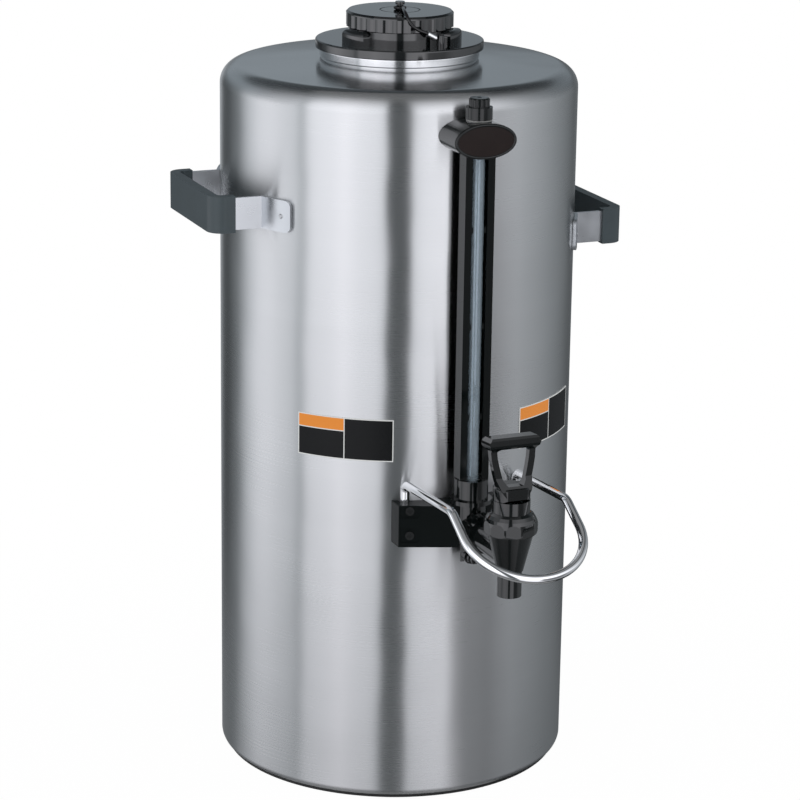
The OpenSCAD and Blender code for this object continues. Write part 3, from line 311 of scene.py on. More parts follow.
@dataclass(frozen=True)
class BrushedSteel(Finish):
    """Sheet steel with fine parallel scratches, and a glossier deck with painted shade where it has one."""

    colour: Colour = (0.60, 0.61, 0.615)
    roughness: float = 0.30
    stretch: float = 1.0
    grain: Grain = Grain.ROUND
    line: float = 1600.0
    along: float = 14.0
    depth: float = 2.4e-7
    wave: float = 0.0
    mottle: float = 0.05
    fine_tone: float = 0.20
    broad_tone: float = 0.16
    fine_rough: float = 0.04
    deck_z: Optional[float] = None
    deck_fade: float = 7 * MM
    deck_rough: float = 0.17
    # painted shade: the share of the wall's colour that the deck keeps, so that the level top renders darker
    deck_painted_shade: float = 0.74

    def fill(self, graph: Graph) -> None:
        """Adds the brushing, its patches and the deck, whose darker colour is painted shade."""
        x, y, z = graph.xyz()
        if self.grain is Grain.ROUND:
            across = ((x * x + y * y).op(Op.SQRT) - z) * self.line
        else:
            across = z * self.line
        fine = graph.noise(graph.vector(x * self.along, y * self.along, across), 1.0, 3.0, 0.62)
        broad = graph.noise(graph.vector(x * 4.0, y * 4.0, z * 90.0), 1.0, 2.0)
        patch = graph.noise(graph.place(), 9.0 if self.wave else 60.0, 3.0)
        rough = self.roughness + (fine - 0.5) * self.fine_rough + (patch - 0.5) * self.mottle
        tone = 0.5 + (fine - 0.5) * self.fine_tone + (broad - 0.5) * self.broad_tone
        tone = tone + (patch - 0.5) * self.mottle * 4
        dark, light = (scaled(self.colour, share) for share in (0.88, 1.08))
        shared = {
            "Base Color": graph.mix(tone, dark, light),
            "Metallic": 1.0,
            "Normal": graph.bump(fine, self.depth, self.waves(graph)),
        }
        side = graph.shader(
            {**shared, "Roughness": rough, "Anisotropic": self.stretch, "Anisotropic Rotation": 0.25}
        )
        if self.deck_z is None:
            graph.output(side)
            return
        # painted shade: the deck takes the wall's colours scaled down
        shared["Base Color"] = graph.mix(tone, *(scaled(tint, self.deck_painted_shade) for tint in (dark, light)))
        rough = self.deck_rough + (fine - 0.5) * 0.06 + (patch - 0.5) * 0.04
        deck = graph.shader({**shared, "Roughness": rough})
        share = z.step(self.deck_z - self.deck_fade, self.deck_z)
        both = graph.add("ShaderNodeMixShader", None, {0: share, 1: side.outputs[0], 2: deck.outputs[0]})
        graph.output(both)

    def waves(self, graph: Graph) -> Optional[Socket]:
        """Normals with the faint waves of a large sheet."""
        if not self.wave:
            return None
        return graph.bump(graph.noise(graph.place(), 16.0, 1.0, 0.4), self.wave)


@dataclass(frozen=True)
class PolishedMetal(Finish):
    """Bright metal with faint polishing lines."""

    colour: Colour = (0.86, 0.87, 0.88)
    roughness: float = 0.09
    line: float = 900.0

    def fill(self, graph: Graph) -> None:
        """Adds the polish and its smears."""
        x, y, z = graph.xyz()
        fine = graph.noise(graph.vector(x * 30.0, y * 30.0, z * self.line), 1.0, 2.0)
        smear = graph.noise(graph.place(), 60.0, 3.0)
        graph.surface(
            {
                "Base Color": self.colour,
                "Metallic": 1.0,
                "Roughness": self.roughness + (smear - 0.5) * 0.06 + (fine - 0.5) * 0.04,
                "Normal": graph.bump(fine, 4.0e-7),
            }
        )


@dataclass(frozen=True)
class Moulded(Finish):
    """Moulded plastic or rubber with a fine spark-eroded grain."""

    colour: Colour = (0.018, 0.019, 0.020)
    roughness: float = 0.22
    grain: float = 2600.0
    depth: float = 3.0e-6
    mottle: float = 0.06
    shine: float = 0.5

    def fill(self, graph: Graph) -> None:
        """Adds the grain and its gloss patches."""
        place = graph.place()
        grain = graph.noise(place, self.grain, 2.0)
        patch = graph.noise(place, 70.0, 4.0, 0.6)
        dark, light = (scaled(self.colour, share) for share in (0.85, 1.25))
        graph.surface(
            {
                "Base Color": graph.mix(patch, dark, light),
                "Roughness": self.roughness + (patch - 0.5) * self.mottle * 2 + (grain - 0.5) * 0.05,
                "Specular IOR Level": self.shine,
                "Normal": graph.bump(grain, self.depth),
            }
        )


@dataclass(frozen=True)
class ClearTube(Finish):
    """The clear plastic of the sight tube."""

    def fill(self, graph: Graph) -> None:
        """Adds a clear shader with faint draw lines."""
        x, y, z = graph.xyz()
        lines = graph.noise(graph.vector(x * 900.0, y * 900.0, z * 8.0), 1.0, 2.0)
        graph.surface(
            {
                "Base Color": (0.50, 0.60, 0.68),
                "Metallic": 0.28,
                "Roughness": 0.05 + lines * 0.05,
                "Alpha": 0.24 + lines * 0.14,
                "IOR": 1.49,
            }
        )


@dataclass(frozen=True)
class PanelPrint(Finish):
    """A blank label: a coloured strip over dark fields with thin key lines."""

    outer: float = 54.0
    middle: float = 38.0
    inner: float = 22.6
    strip_inner: bool = False
    low: float = 253 * MM
    high: float = 283 * MM
    line_deg: float = 0.32
    line_z: float = 0.7 * MM
    strip_z: float = 9.2 * MM

    def fill(self, graph: Graph) -> None:
        """Adds the fields, worked out from azimuth and height."""
        x, y, z = graph.xyz()
        azimuth = x.op(Op.ATAN2, -y) * math.degrees(1.0)
        line_deg, line_z, strip_z = self.line_deg, self.line_z, self.strip_z
        outer, middle, inner = self.outer, self.middle, self.inner
        lo, hi = sorted((inner, middle) if self.strip_inner else (middle, outer))
        left, right = sorted((outer, inner))
        column = azimuth.within(lo + line_deg, hi - line_deg / 2)
        strip = column * z.within(self.high - strip_z, self.high - line_z)
        rule = azimuth.within(lo, hi) * z.within(self.high - strip_z - line_z, self.high - strip_z)
        divider = azimuth.within(middle - line_deg / 2, middle + line_deg / 2)
        inside = z.within(self.low + line_z, self.high - line_z)
        border = 1.0 - azimuth.within(left + line_deg, right - line_deg) * inside
        light = rule.op(Op.MAX, divider).op(Op.MAX, border)
        scuff = graph.noise(graph.place(), 400.0, 4.0)
        black = graph.mix(scuff, (0.003, 0.0035, 0.004), (0.006, 0.0065, 0.007))
        field_colour = graph.mix(strip, black, (0.80, 0.27, 0.045))
        graph.surface(
            {
                "Base Color": graph.mix(light, field_colour, (0.72, 0.72, 0.70)),
                "Roughness": 0.34 + (scuff - 0.5) * 0.12,
                "Specular IOR Level": 0.16,
                "Normal": graph.bump(scuff, 2.0e-6),
            }
        )


@dataclass(frozen=True)
class Foam(Finish):
    """Rigid insulating foam."""

    colour: Colour = (0.74, 0.62, 0.36)

    def fill(self, graph: Graph) -> None:
        """Adds open cells."""
        cells = graph.noise(graph.place(), 700.0, 3.0)
        graph.surface(
            {
                "Base Color": graph.mix(cells, scaled(self.colour, 0.6), self.colour),
                "Roughness": 0.9 - cells * 0.1,
                "Normal": graph.bump(cells, 3.0e-4),
            }
        )


BLACK: Colour = (0.0024, 0.0036, 0.0036)

BODY_STEEL = BrushedSteel("brushed_body_steel", roughness=0.28, wave=8.0e-4, deck_z=510 * MM)
STRAP_STEEL = BrushedSteel(
    "brushed_strap_steel", colour=(0.58, 0.60, 0.62), roughness=0.30, stretch=0.55, grain=Grain.ALONG,
    mottle=0.25,
)
INNER_STEEL = BrushedSteel("plain_inner_steel", colour=(0.52, 0.53, 0.54), roughness=0.4, stretch=0.3)
COLLAR_STEEL = BrushedSteel(
    "polished_collar_steel", colour=(0.74, 0.75, 0.76), roughness=0.14, stretch=0.3, depth=6.0e-7
)
CHROME = PolishedMetal("bright_rod_chrome", roughness=0.06)
BRIGHT = PolishedMetal("bright_sleeve_steel", roughness=0.18)
LID_BLACK = Moulded(
    "lid_plastic", colour=(0.0030, 0.0042, 0.0045), roughness=0.07, shine=1.0, mottle=0.03, depth=1.0e-6
)
TAP_BLACK = Moulded("tap_plastic", colour=BLACK, roughness=0.07, shine=0.8, mottle=0.02, depth=6.0e-7)
GAUGE_BLACK = Moulded("gauge_plastic", colour=BLACK, roughness=0.08, shine=0.8, mottle=0.02, depth=6.0e-7)
CAP_BLACK = Moulded("vent_plastic", colour=(0.003, 0.0044, 0.0044), roughness=0.14, shine=0.45, mottle=0.02)
RAIL_BLACK = Moulded("rail_plastic", colour=BLACK, roughness=0.12, shine=0.35, mottle=0.02)
COVER_BLACK = Moulded(
    "bracket_plastic", colour=(0.0045, 0.0062, 0.0062), roughness=0.26, shine=0.08, mottle=0.02, depth=1.0e-6
)
SCREW_BLACK = Moulded("screw_black_oxide", colour=(0.006, 0.007, 0.007), roughness=0.22, shine=0.5)
BADGE = Moulded("badge_gloss", colour=(0.012, 0.007, 0.006), roughness=0.10, depth=5.0e-7, mottle=0.01)
GRIP_SLATE = Moulded("grip_slate", colour=(0.035, 0.049, 0.055), roughness=0.48, depth=1.2e-5, mottle=0.1)
FOOT_RUBBER = Moulded("foot_rubber", colour=(0.006, 0.006, 0.006), roughness=0.6)
SEAL_GREY = Moulded("seal_silicone", colour=(0.30, 0.30, 0.29), roughness=0.55)
CORD_BLACK = Moulded("tether_plastic", colour=(0.005, 0.005, 0.0055), roughness=0.18)
TUBE = ClearTube("clear_sight_tube")
FOAM = Foam("jacket_foam")
LABEL_LEFT = PanelPrint("label_left_print", outer=-54.0, middle=-38.2, inner=-22.6)
LABEL_RIGHT = PanelPrint("label_right_print", outer=52.4, middle=36.6, inner=21.0, strip_inner=True)


# ---------------------------------------------------------------- mesh helpers


def node_object(name: str) -> bpy.types.Object:
    """The frame's object of a CAD node."""
    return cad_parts[name]


def dress(name: str, finish: Finish, edge: float = 0.0) -> bpy.types.Object:
    """Gives a CAD node its finish and rounds its edges.

    Args:
        name: the node.
        finish: what it is made of.
        edge: the rounds' radius in millimetres; 0 leaves the edges sharp.

    Returns:
        The node's object.
    """
    piece = node_object(name)
    piece.data.materials.clear()
    piece.data.materials.append(finish.material())
    if edge:
        round_edges(piece, edge * MM)
    else:
        piece.data.set_sharp_from_angle(angle=math.radians(28.0))
    return piece


def round_edges(piece: bpy.types.Object, radius: float, angle: float = 24.0) -> None:
    """Rounds a piece's edges with modifiers, so that its own mesh stays as it is."""
    flat = piece.modifiers.new("flat_faces", "DECIMATE")
    flat.decimate_type = "DISSOLVE"
    flat.angle_limit = math.radians(0.4)
    edges = piece.modifiers.new("rounds", "BEVEL")
    edges.width = radius
    edges.segments = 3
    edges.limit_method = "ANGLE"
    edges.angle_limit = math.radians(angle)
    edges.use_clamp_overlap = True
    edges.harden_normals = True
    edges.miter_outer = "MITER_ARC"


def new_piece(
    name: str,
    mesh: bpy.types.Mesh,
    body: Optional[str],
    finish: Finish,
    replaced: Sequence[str] = (),
) -> bpy.types.Object:
    """Makes a mesh into a piece of the urn.

    Args:
        name: the piece's name.
        mesh: its mesh, in the frame's axes.
        body: the body it rides on, or None to leave it unattached.
        finish: what it is made of.
        replaced: the CAD nodes it stands for.

    Returns:
        The new object.
    """
    piece = bpy.data.objects.new(name, mesh)
    bpy.context.scene.collection.objects.link(piece)
    mesh.materials.append(finish.material())
    if body:
        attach(piece, body)
    if replaced:
        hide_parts(*replaced)
    return piece


def unit(v: Vector) -> Vector:
    """The vector at length one."""
    return v.normalized()


def rounded_corner(a: Vector, b: Vector, c: Vector, radius: float, steps: int) -> list[Vector]:
    """Points of a round at corner b on the way from a to c."""
    u, v = unit(a - b), unit(c - b)
    half = math.acos(max(-1.0, min(1.0, u.dot(v)))) / 2
    middle = b + unit(u + v) * radius / math.sin(half)
    p, q = b + u * radius / math.tan(half) - middle, b + v * radius / math.tan(half) - middle
    turn = math.pi - 2 * half
    return [
        middle + (p * math.sin(turn * (1 - i / steps)) + q * math.sin(turn * i / steps)) / math.sin(turn)
        for i in range(steps + 1)
    ]


def tube_mesh(
    name: str, route: Sequence[Vector], radius: float, sides: int, up: Vector, loop: bool = False
) -> bpy.types.Mesh:
    """A round rod along a route, with closed ends.

    Args:
        name: the mesh's name.
        route: its axis.
        radius: its radius.
        sides: points round it.
        up: a direction that the route never takes.
        loop: whether its end joins its start.

    Returns:
        A smooth closed mesh.
    """
    shape = bmesh.new()
    rings = []
    count = len(route)
    turns = [math.tau * k / sides for k in range(sides)]
    for i, at in enumerate(route):
        before, after = ((i - 1) % count, (i + 1) % count) if loop else (max(i - 1, 0), min(i + 1, count - 1))
        ahead = unit(route[after] - route[before])
        side = unit(ahead.cross(up))
        rise = side.cross(ahead)
        ways = (side * math.cos(a) + rise * math.sin(a) for a in turns)
        rings.append([shape.verts.new(at + radius * way) for way in ways])
    join_rings(shape, rings, loop)
    if not loop:
        shape.faces.new(rings[0][::-1])
        shape.faces.new(rings[-1])
    bmesh.ops.recalc_face_normals(shape, faces=shape.faces)
    return finished(shape, name, 50.0)


def join_rings(shape: bmesh.types.BMesh, rings: list[list[bmesh.types.BMVert]], loop: bool) -> None:
    """Adds the faces between rings of points, and between the last and the first where they loop."""
    for low, high in zip(rings, rings[1:] + (rings[:1] if loop else [])):
        for k in range(len(low)):
            after = (k + 1) % len(low)
            shape.faces.new((low[k], low[after], high[after], high[k]))


def arc(
    r: float, z: float, radius: float, start: float, end: float, steps: int = 12
) -> list[tuple[float, float]]:
    """Points (r, z) of an arc round a centre, between two angles in degrees."""
    angles = (math.radians(start + (end - start) * i / steps) for i in range(steps + 1))
    return [(r + radius * math.cos(a), z + radius * math.sin(a)) for a in angles]


def lathe_mesh(name: str, outline: Sequence[tuple[float, float]], segments: int = 288) -> bpy.types.Mesh:
    """Turns a closed outline of (r, z) points in millimetres round the Z axis.

    Args:
        name: the mesh's name.
        outline: the section, whose last point joins its first.
        segments: steps round the axis.

    Returns:
        A smooth closed mesh.
    """
    shape = bmesh.new()
    turns = [math.tau * k / segments for k in range(segments)]
    rings = [
        [shape.verts.new((r * MM * math.cos(a), r * MM * math.sin(a), z * MM)) for a in turns]
        for r, z in outline
    ]
    join_rings(shape, rings, True)
    bmesh.ops.recalc_face_normals(shape, faces=shape.faces)
    return finished(shape, name, 30.0)


def finished(shape: bmesh.types.BMesh, name: str, angle: float) -> bpy.types.Mesh:
    """Turns a bmesh into a mesh that is smooth but at edges sharper than an angle."""
    mesh = bpy.data.meshes.new(name)
    shape.to_mesh(mesh)
    shape.free()
    mesh.polygons.foreach_set("use_smooth", [True] * len(mesh.polygons))
    mesh.set_sharp_from_angle(angle=math.radians(angle))
    return mesh


def spline(points: Sequence[Vector], steps: int) -> list[Vector]:
    """A smooth curve through points, with steps between each pair."""
    last = len(points) - 1
    curve = []
    for i in range(last):
        a, b = points[max(i - 1, 0)], points[i]
        c, d = points[i + 1], points[min(i + 2, last)]
        square, cube = 2 * a - 5 * b + 4 * c - d, 3 * b - a - 3 * c + d
        for t in (k / steps for k in range(steps)):
            curve.append(0.5 * (2 * b + (c - a) * t + square * t * t + cube * t**3))
    return curve + [points[last]]


# ---------------------------------------------------------------- studio


@dataclass
class Studio:
    """Camera, floor, lamps and the pale surroundings that the metal reflects."""

    distance: float = 2.049
    height: float = 0.856
    azimuth: float = 22.4
    yaw: float = 0.108
    pitch: float = 16.20
    roll: float = 0.80
    focal_px: float = 2914.0
    frame_px: float = 800.0
    sensor: float = 36.0
    tent_radius: float = 1.1
    tent_low: float = -1.4
    tent_high: float = 2.4
    # (azimuth, strength) of the pale panels and dark gaps that stand round the urn
    panels: Profile = (
        (-180, 0.34), (-168, 0.06), (-155, 0.07), (-140, 0.22), (-128, 0.70), (-117, 0.98), (-107, 1.00),
        (-92, 0.84), (-87, 0.76), (-83, 0.52), (-80, 0.66), (-77, 0.98), (-63, 1.05), (-55, 1.15),
        (-44, 1.02), (-34, 0.97), (-30, 0.90), (-27, 0.10), (-15, 0.08), (-12, 0.93), (-4, 1.03), (8, 1.08),
        (20, 1.05), (24, 0.92), (45, 0.84), (62, 0.62), (90, 0.34), (110, 0.20), (124, 0.10), (150, 0.14),
    )
    # (height, strength) from the foot of the panels to their top
    rise: Profile = (
        (-1.4, 0.05), (-0.75, 0.28), (-0.45, 1.15), (-0.2, 1.66), (0.1, 2.15), (0.25, 2.5), (0.6, 2.5),
        (1.0, 2.4), (1.3, 1.6), (1.8, 1.0), (2.4, 0.5),
    )
    # (azimuth, strength) of the panels' lower part, where they reach below low_edge
    low_panels: Profile = (
        (-180, 0.36), (-150, 0.28), (-117, 0.80), (-90, 0.62), (-78, 0.92), (-55, 1.16), (-34, 0.98),
        (-29, 0.44), (-22, 0.34), (-16, 0.50), (-12, 0.98), (4, 1.12), (19, 1.10), (25, 0.50), (60, 0.40),
        (100, 0.28), (150, 0.20),
    )
    low_edge: tuple[float, float] = (-0.42, -0.12)
    # (azimuth, share) that is left of the panels' upper part below mid_edge
    mid_shares: Profile = (
        (-180, 1.0), (10, 1.0), (17, 0.16), (40, 0.16), (58, 0.6), (90, 0.8), (180, 1.0),
    )
    mid_edge: tuple[float, float] = (0.28, 0.52)
    # (azimuth, share) that is left of the panels above high_edge
    high_shares: Profile = (
        (-180, 0.05), (-120, 0.10), (-95, 0.5), (-75, 1.0), (30, 1.0), (60, 0.6), (110, 0.1), (180, 0.05),
    )
    high_edge: tuple[float, float] = (0.45, 0.65)
    # (azimuth, strength) and (height, share) of the strip that the level tops show
    crown: Profile = (
        (-180, 0.38), (-130, 0.35), (-100, 0.1), (-60, 0.0), (60, 0.0), (100, 0.14), (130, 0.26),
        (158, 0.38),
    )
    crown_rise: Profile = (
        (-1.4, 0.0), (0.56, 0.0), (0.68, 1.0), (0.98, 1.0), (1.15, 0.3), (2.4, 0.15),
    )
    crown_tint: Colour = (0.88, 1.0, 1.10)
    dark_tint: Colour = (0.92, 1.0, 1.05)
    bright_tint: Colour = (0.99, 0.98, 1.03)
    bright: float = 1.2
    level: float = 1.26

    def build(self) -> None:
        """Makes the camera first, then all the rest."""
        bpy.context.scene.view_settings.view_transform = "Standard"
        self.camera()
        self.world()
        self.floor()
        self.tent()
        self.lamps()
        log.info("studio: camera %.2f m away, tent of %d panels", self.distance, len(self.panels))

    def camera(self) -> None:
        """Sets up the camera from its place and its three turns."""
        swing = math.radians(self.azimuth)
        yaw, pitch, roll = (math.radians(a) for a in (self.yaw, self.pitch, self.roll))
        ahead = Vector((math.sin(swing), math.cos(swing), 0.0))
        right = Vector((math.cos(swing), -math.sin(swing), 0.0))
        up = Vector((0.0, 0.0, 1.0))
        level = ahead * math.cos(yaw) + right * math.sin(yaw)
        side = right * math.cos(yaw) - ahead * math.sin(yaw)
        look = level * math.cos(pitch) - up * math.sin(pitch)
        rise = up * math.cos(pitch) + level * math.sin(pitch)
        across = side * math.cos(roll) + rise * math.sin(roll)
        upward = rise * math.cos(roll) - side * math.sin(roll)
        place = up * self.height - ahead * self.distance
        data = bpy.data.cameras.new("camera")
        data.sensor_width = self.sensor
        data.lens = self.focal_px / self.frame_px * self.sensor
        data.clip_start, data.clip_end = 0.05, 50.0
        camera = bpy.data.objects.new("camera", data)
        bpy.context.scene.collection.objects.link(camera)
        camera.matrix_world = Matrix(
            [[across[i], upward[i], -look[i], place[i]] for i in range(3)] + [[0.0, 0.0, 0.0, 1.0]]
        )
        bpy.context.scene.camera = camera

    def world(self) -> None:
        """A white background and an even light from all round."""
        world = bpy.data.worlds.new("studio")
        bpy.context.scene.world = world
        world.use_nodes = True
        graph = Graph(world.node_tree)
        path = graph.add("ShaderNodeLightPath")
        through = Val(graph, path.outputs["Is Transmission Ray"])
        seen = Val(graph, path.outputs["Is Camera Ray"]).op(Op.MAX, through)
        white = graph.add("ShaderNodeBackground", None, {"Color": (1.0, 1.0, 1.0), "Strength": 1.0})
        glossy = Val(graph, path.outputs["Is Glossy Ray"])
        light = graph.add(
            "ShaderNodeBackground", None, {"Color": (0.96, 0.98, 1.0), "Strength": 0.80 - glossy * 0.55}
        )
        both = graph.add("ShaderNodeMixShader", None, {0: seen, 1: light.outputs[0], 2: white.outputs[0]})
        graph.add("ShaderNodeOutputWorld", None, {"Surface": both.outputs[0]})

    def floor(self) -> None:
        """A pale round floor that fades into the background."""
        shape = bmesh.new()
        bmesh.ops.create_circle(shape, cap_ends=True, segments=96, radius=4.0)
        floor = bpy.data.objects.new("floor", finished(shape, "floor", 30.0))
        bpy.context.scene.collection.objects.link(floor)
        floor.visible_glossy = False
        made = bpy.data.materials.new("floor_paper")
        made.use_nodes = True
        graph = Graph(made.node_tree)
        x, y, _ = graph.xyz()
        far = (x * x + y * y).op(Op.SQRT).step(0.22, 0.62)
        paper = graph.add("ShaderNodeBsdfDiffuse", None, {"Color": (0.93, 0.93, 0.93)})
        glow = graph.add("ShaderNodeEmission", None, {"Color": (1.0, 1.0, 1.0), "Strength": 1.0})
        path = graph.add("ShaderNodeLightPath")
        seen = Val(graph, path.outputs["Is Camera Ray"])
        share = (0.98 + far * 0.02) * seen
        both = graph.add("ShaderNodeMixShader", None, {0: share, 1: paper.outputs[0], 2: glow.outputs[0]})
        graph.add("ShaderNodeOutputMaterial", None, {"Surface": both.outputs[0]})
        floor.data.materials.append(made)

    def tent(self) -> None:
        """A ring of pale panels round the urn, which only reflections show."""
        shape = bmesh.new()
        bmesh.ops.create_cone(
            shape, cap_ends=False, segments=128, radius1=self.tent_radius, radius2=self.tent_radius,
            depth=self.tent_high - self.tent_low,
        )
        bmesh.ops.translate(shape, vec=(0.0, 0.0, (self.tent_high + self.tent_low) / 2), verts=shape.verts)
        tent = bpy.data.objects.new("panels", finished(shape, "panels", 30.0))
        bpy.context.scene.collection.objects.link(tent)
        for way in ("camera", "diffuse", "transmission", "shadow", "volume_scatter"):
            setattr(tent, f"visible_{way}", False)
        made = bpy.data.materials.new("panel_light")
        made.use_nodes = True
        made.cycles.emission_sampling = "NONE"
        graph = Graph(made.node_tree)
        x, y, z = graph.xyz()
        turn = x.op(Op.ATAN2, -y) / math.tau + 0.5
        height = (z - self.tent_low) / (self.tent_high - self.tent_low)
        top = max(v for _, v in self.rise)
        upper, lower = (
            graph.ramp(turn, [(self.share(az), self.tint(v)) for az, v in self.closed(ring)])
            for ring in (self.panels, self.low_panels)
        )
        mid, high, crown = (
            Val(graph, graph.ramp(turn, [(self.share(az), v) for az, v in ring]))
            for ring in (self.mid_shares, self.high_shares, self.closed(self.crown))
        )
        rise, crown_rise = (
            Val(graph, graph.ramp(height, [(self.level_at(at), v / scale) for at, v in profile]))
            for profile, scale in ((self.rise, top), (self.crown_rise, 1.0))
        )
        band = graph.mix(z.step(*self.low_edge), lower, upper)
        dim = z.step(*self.low_edge) * (1.0 - z.step(*self.mid_edge))
        strength = rise * (1.0 - (1.0 - mid) * dim) * top * self.level
        strength = strength * (1.0 - (1.0 - high) * z.step(*self.high_edge))
        sides = graph.add("ShaderNodeEmission", None, {"Color": band, "Strength": strength})
        strip = {"Color": self.crown_tint, "Strength": crown * crown_rise}
        tops = graph.add("ShaderNodeEmission", None, strip)
        glow = graph.add("ShaderNodeAddShader", None, {0: sides.outputs[0], 1: tops.outputs[0]})
        graph.add("ShaderNodeOutputMaterial", None, {"Surface": glow.outputs[0]})
        tent.data.materials.append(made)

    @staticmethod
    def closed(ring: Profile) -> Profile:
        """A ring whose start is repeated at its end."""
        return (*ring, (180, ring[0][1]))

    @staticmethod
    def share(azimuth: float) -> float:
        """Where an azimuth lies on the ramps."""
        return (azimuth + 180) / 360

    def level_at(self, height: float) -> float:
        """Where a height lies on the ramps."""
        return (height - self.tent_low) / (self.tent_high - self.tent_low)

    def tint(self, strength: float) -> Colour:
        """A panel's colour at half its strength: the dark ones are cooler than the bright ones."""
        share = min(strength / self.bright, 1.0)
        pairs = zip(self.dark_tint, self.bright_tint)
        return tuple(strength / 2 * (a + (b - a) * share) for a, b in pairs)

    def lamps(self) -> None:
        """Two large soft lamps that model the matt surfaces."""
        self.lamp("key", Vector((-1.3, -1.4, 1.9)), 1.4, 9.0)
        self.lamp("fill", Vector((1.6, -0.9, 1.2)), 1.4, 3.5)

    def lamp(self, name: str, place: Vector, size: float, power: float) -> None:
        """A square lamp that looks at the middle of the urn."""
        data = bpy.data.lights.new(name, "AREA")
        data.size = size
        data.energy = power
        lamp = bpy.data.objects.new(name, data)
        bpy.context.scene.collection.objects.link(lamp)
        lamp.location = place
        lamp.rotation_euler = (Vector((0.0, 0.0, 0.25)) - place).to_track_quat("-Z", "Y").to_euler()
        lamp.visible_glossy = False


# ---------------------------------------------------------------- sub-assemblies


class SubAssembly:
    """A group of pieces that are built and dressed together."""

    finishes: dict[str, Finish] = {}
    edges: dict[str, float] = {}

    def build(self) -> None:
        """Dresses the group's CAD nodes and builds its own pieces."""
        for name, finish in self.finishes.items():
            dress(name, finish, self.edges.get(name, 0.0))
        self.make()
        log.info("%s: %d nodes dressed", type(self).__name__.lower(), len(self.finishes))

    def make(self) -> None:
        """Builds the group's own pieces."""


@dataclass
class Vessel(SubAssembly):
    """The insulated body and the tank in it."""

    finishes = {
        "outer_shell": BODY_STEEL, "deck": BODY_STEEL, "foot_ring": FOOT_RUBBER, "base_pan": INNER_STEEL,
        "tank": INNER_STEEL, "insulation": FOAM, "neck_collar": COLLAR_STEEL,
    }
    radius: float = 127.0
    sheet: float = 1.0
    foot: float = 2.2
    curl: float = 5.0
    flange: float = 11.0
    shoulder: float = 14.5
    shoulder_top: float = 510.0
    top: float = 513.5
    neck: float = 56.7
    hole: float = 55.11
    collar: float = 7.5
    collar_wall: float = 1.6
    groove: float = 1.2
    groove_depth: float = 1.5
    bead: float = 0.9
    swell: float = 0.02
    hold: float = 0.2

    def make(self) -> None:
        """Builds the sheet body as one smooth skin from its curled foot to the neck."""
        r, t, turn = self.radius, self.sheet, self.shoulder_top - self.shoulder
        outer = [
            (r - self.flange, self.foot), *arc(r - self.curl, self.foot + self.curl, self.curl, -90, 0),
            *self.wall(r), *arc(r - self.shoulder, turn, self.shoulder, 0, 90, 24),
            (self.neck, self.top), (self.hole, self.top),
        ]
        inner = [
            (self.hole, self.top - t), (self.neck, self.top - t),
            *arc(r - self.shoulder, turn, self.shoulder - t, 90, 0, 24), *reversed(self.wall(r - t)),
            *arc(r - self.curl, self.foot + self.curl, self.curl - t, 0, -90),
            (r - self.flange, self.foot + t),
        ]
        skin = lathe_mesh("body_skin", outer + inner)
        new_piece("body_skin", skin, "urn", BODY_STEEL, ["outer_shell", "deck"])
        neck, foot = self.neck, self.top + self.groove
        rim = self.top + self.collar
        bead = [
            (neck - self.groove_depth, self.top), (neck - self.groove_depth, foot),
            *arc(neck - self.bead, foot + self.bead, self.bead, -90, 0, 6),
            (neck, foot + self.bead + self.hold), (neck - self.swell, (foot + rim) / 2),
            (neck, rim - self.bead - self.hold), *arc(neck - self.bead, rim - self.bead, self.bead, 0, 90, 6),
            (neck - self.collar_wall, rim), (neck - self.collar_wall, self.top),
        ]
        band = lathe_mesh("collar_bead", bead)
        new_piece("collar_bead", band, "urn", COLLAR_STEEL, ["neck_collar"])

    def wall(self, r: float) -> list[tuple[float, float]]:
        """Points up the straight wall between its two rounds."""
        low, high, steps = self.foot + self.curl, self.shoulder_top - self.shoulder, 24
        middle = [low + (high - low) * i / steps for i in range(1, steps)]
        return [(r, z) for z in (low + self.hold, *middle, high - self.hold)]


@dataclass
class LidGroup(SubAssembly):
    """The lid with its screw cap and tether."""

    finishes = {
        "lid": LID_BLACK, "lid_gasket": SEAL_GREY, "fill_funnel": INNER_STEEL, "tether_anchor": LID_BLACK,
        "cap_seal": SEAL_GREY, "tether_ring": CORD_BLACK, "tether": CORD_BLACK, "tether_crimp": BRIGHT,
        "screw_cap": LID_BLACK, "cap_stud": LID_BLACK,
    }
    edges = {"lid": 0.8, "screw_cap": 0.35, "cap_stud": 0.6, "tether_anchor": 0.5, "tether_crimp": 0.2}
    cord_radius: float = 1.2
    cord_route: tuple[tuple[float, float, float], ...] = (
        (0.6, -5, 548.8), (-3.4, -14, 550.6), (-7, -24, 551.0), (-9.6, -34, 549.8), (-9.7, -39.1, 546.4),
        (-7.2, -41.6, 541.9), (-3, -42.9, 539.0), (1.6, -43.4, 537.2), (6, -43.54, 534.85),
        (10.3, -43.68, 532.5),
    )

    def make(self) -> None:
        """Builds the tether as one tube between the lid and the cap."""
        route = spline([Vector(p) * MM for p in self.cord_route], 10)
        mesh = tube_mesh("tether_cord", route, self.cord_radius * MM, 24, Vector((0.3, -0.4, 1.0)))
        cord = new_piece("tether_cord", mesh, None, CORD_BLACK, ["tether"])
        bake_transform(cord)


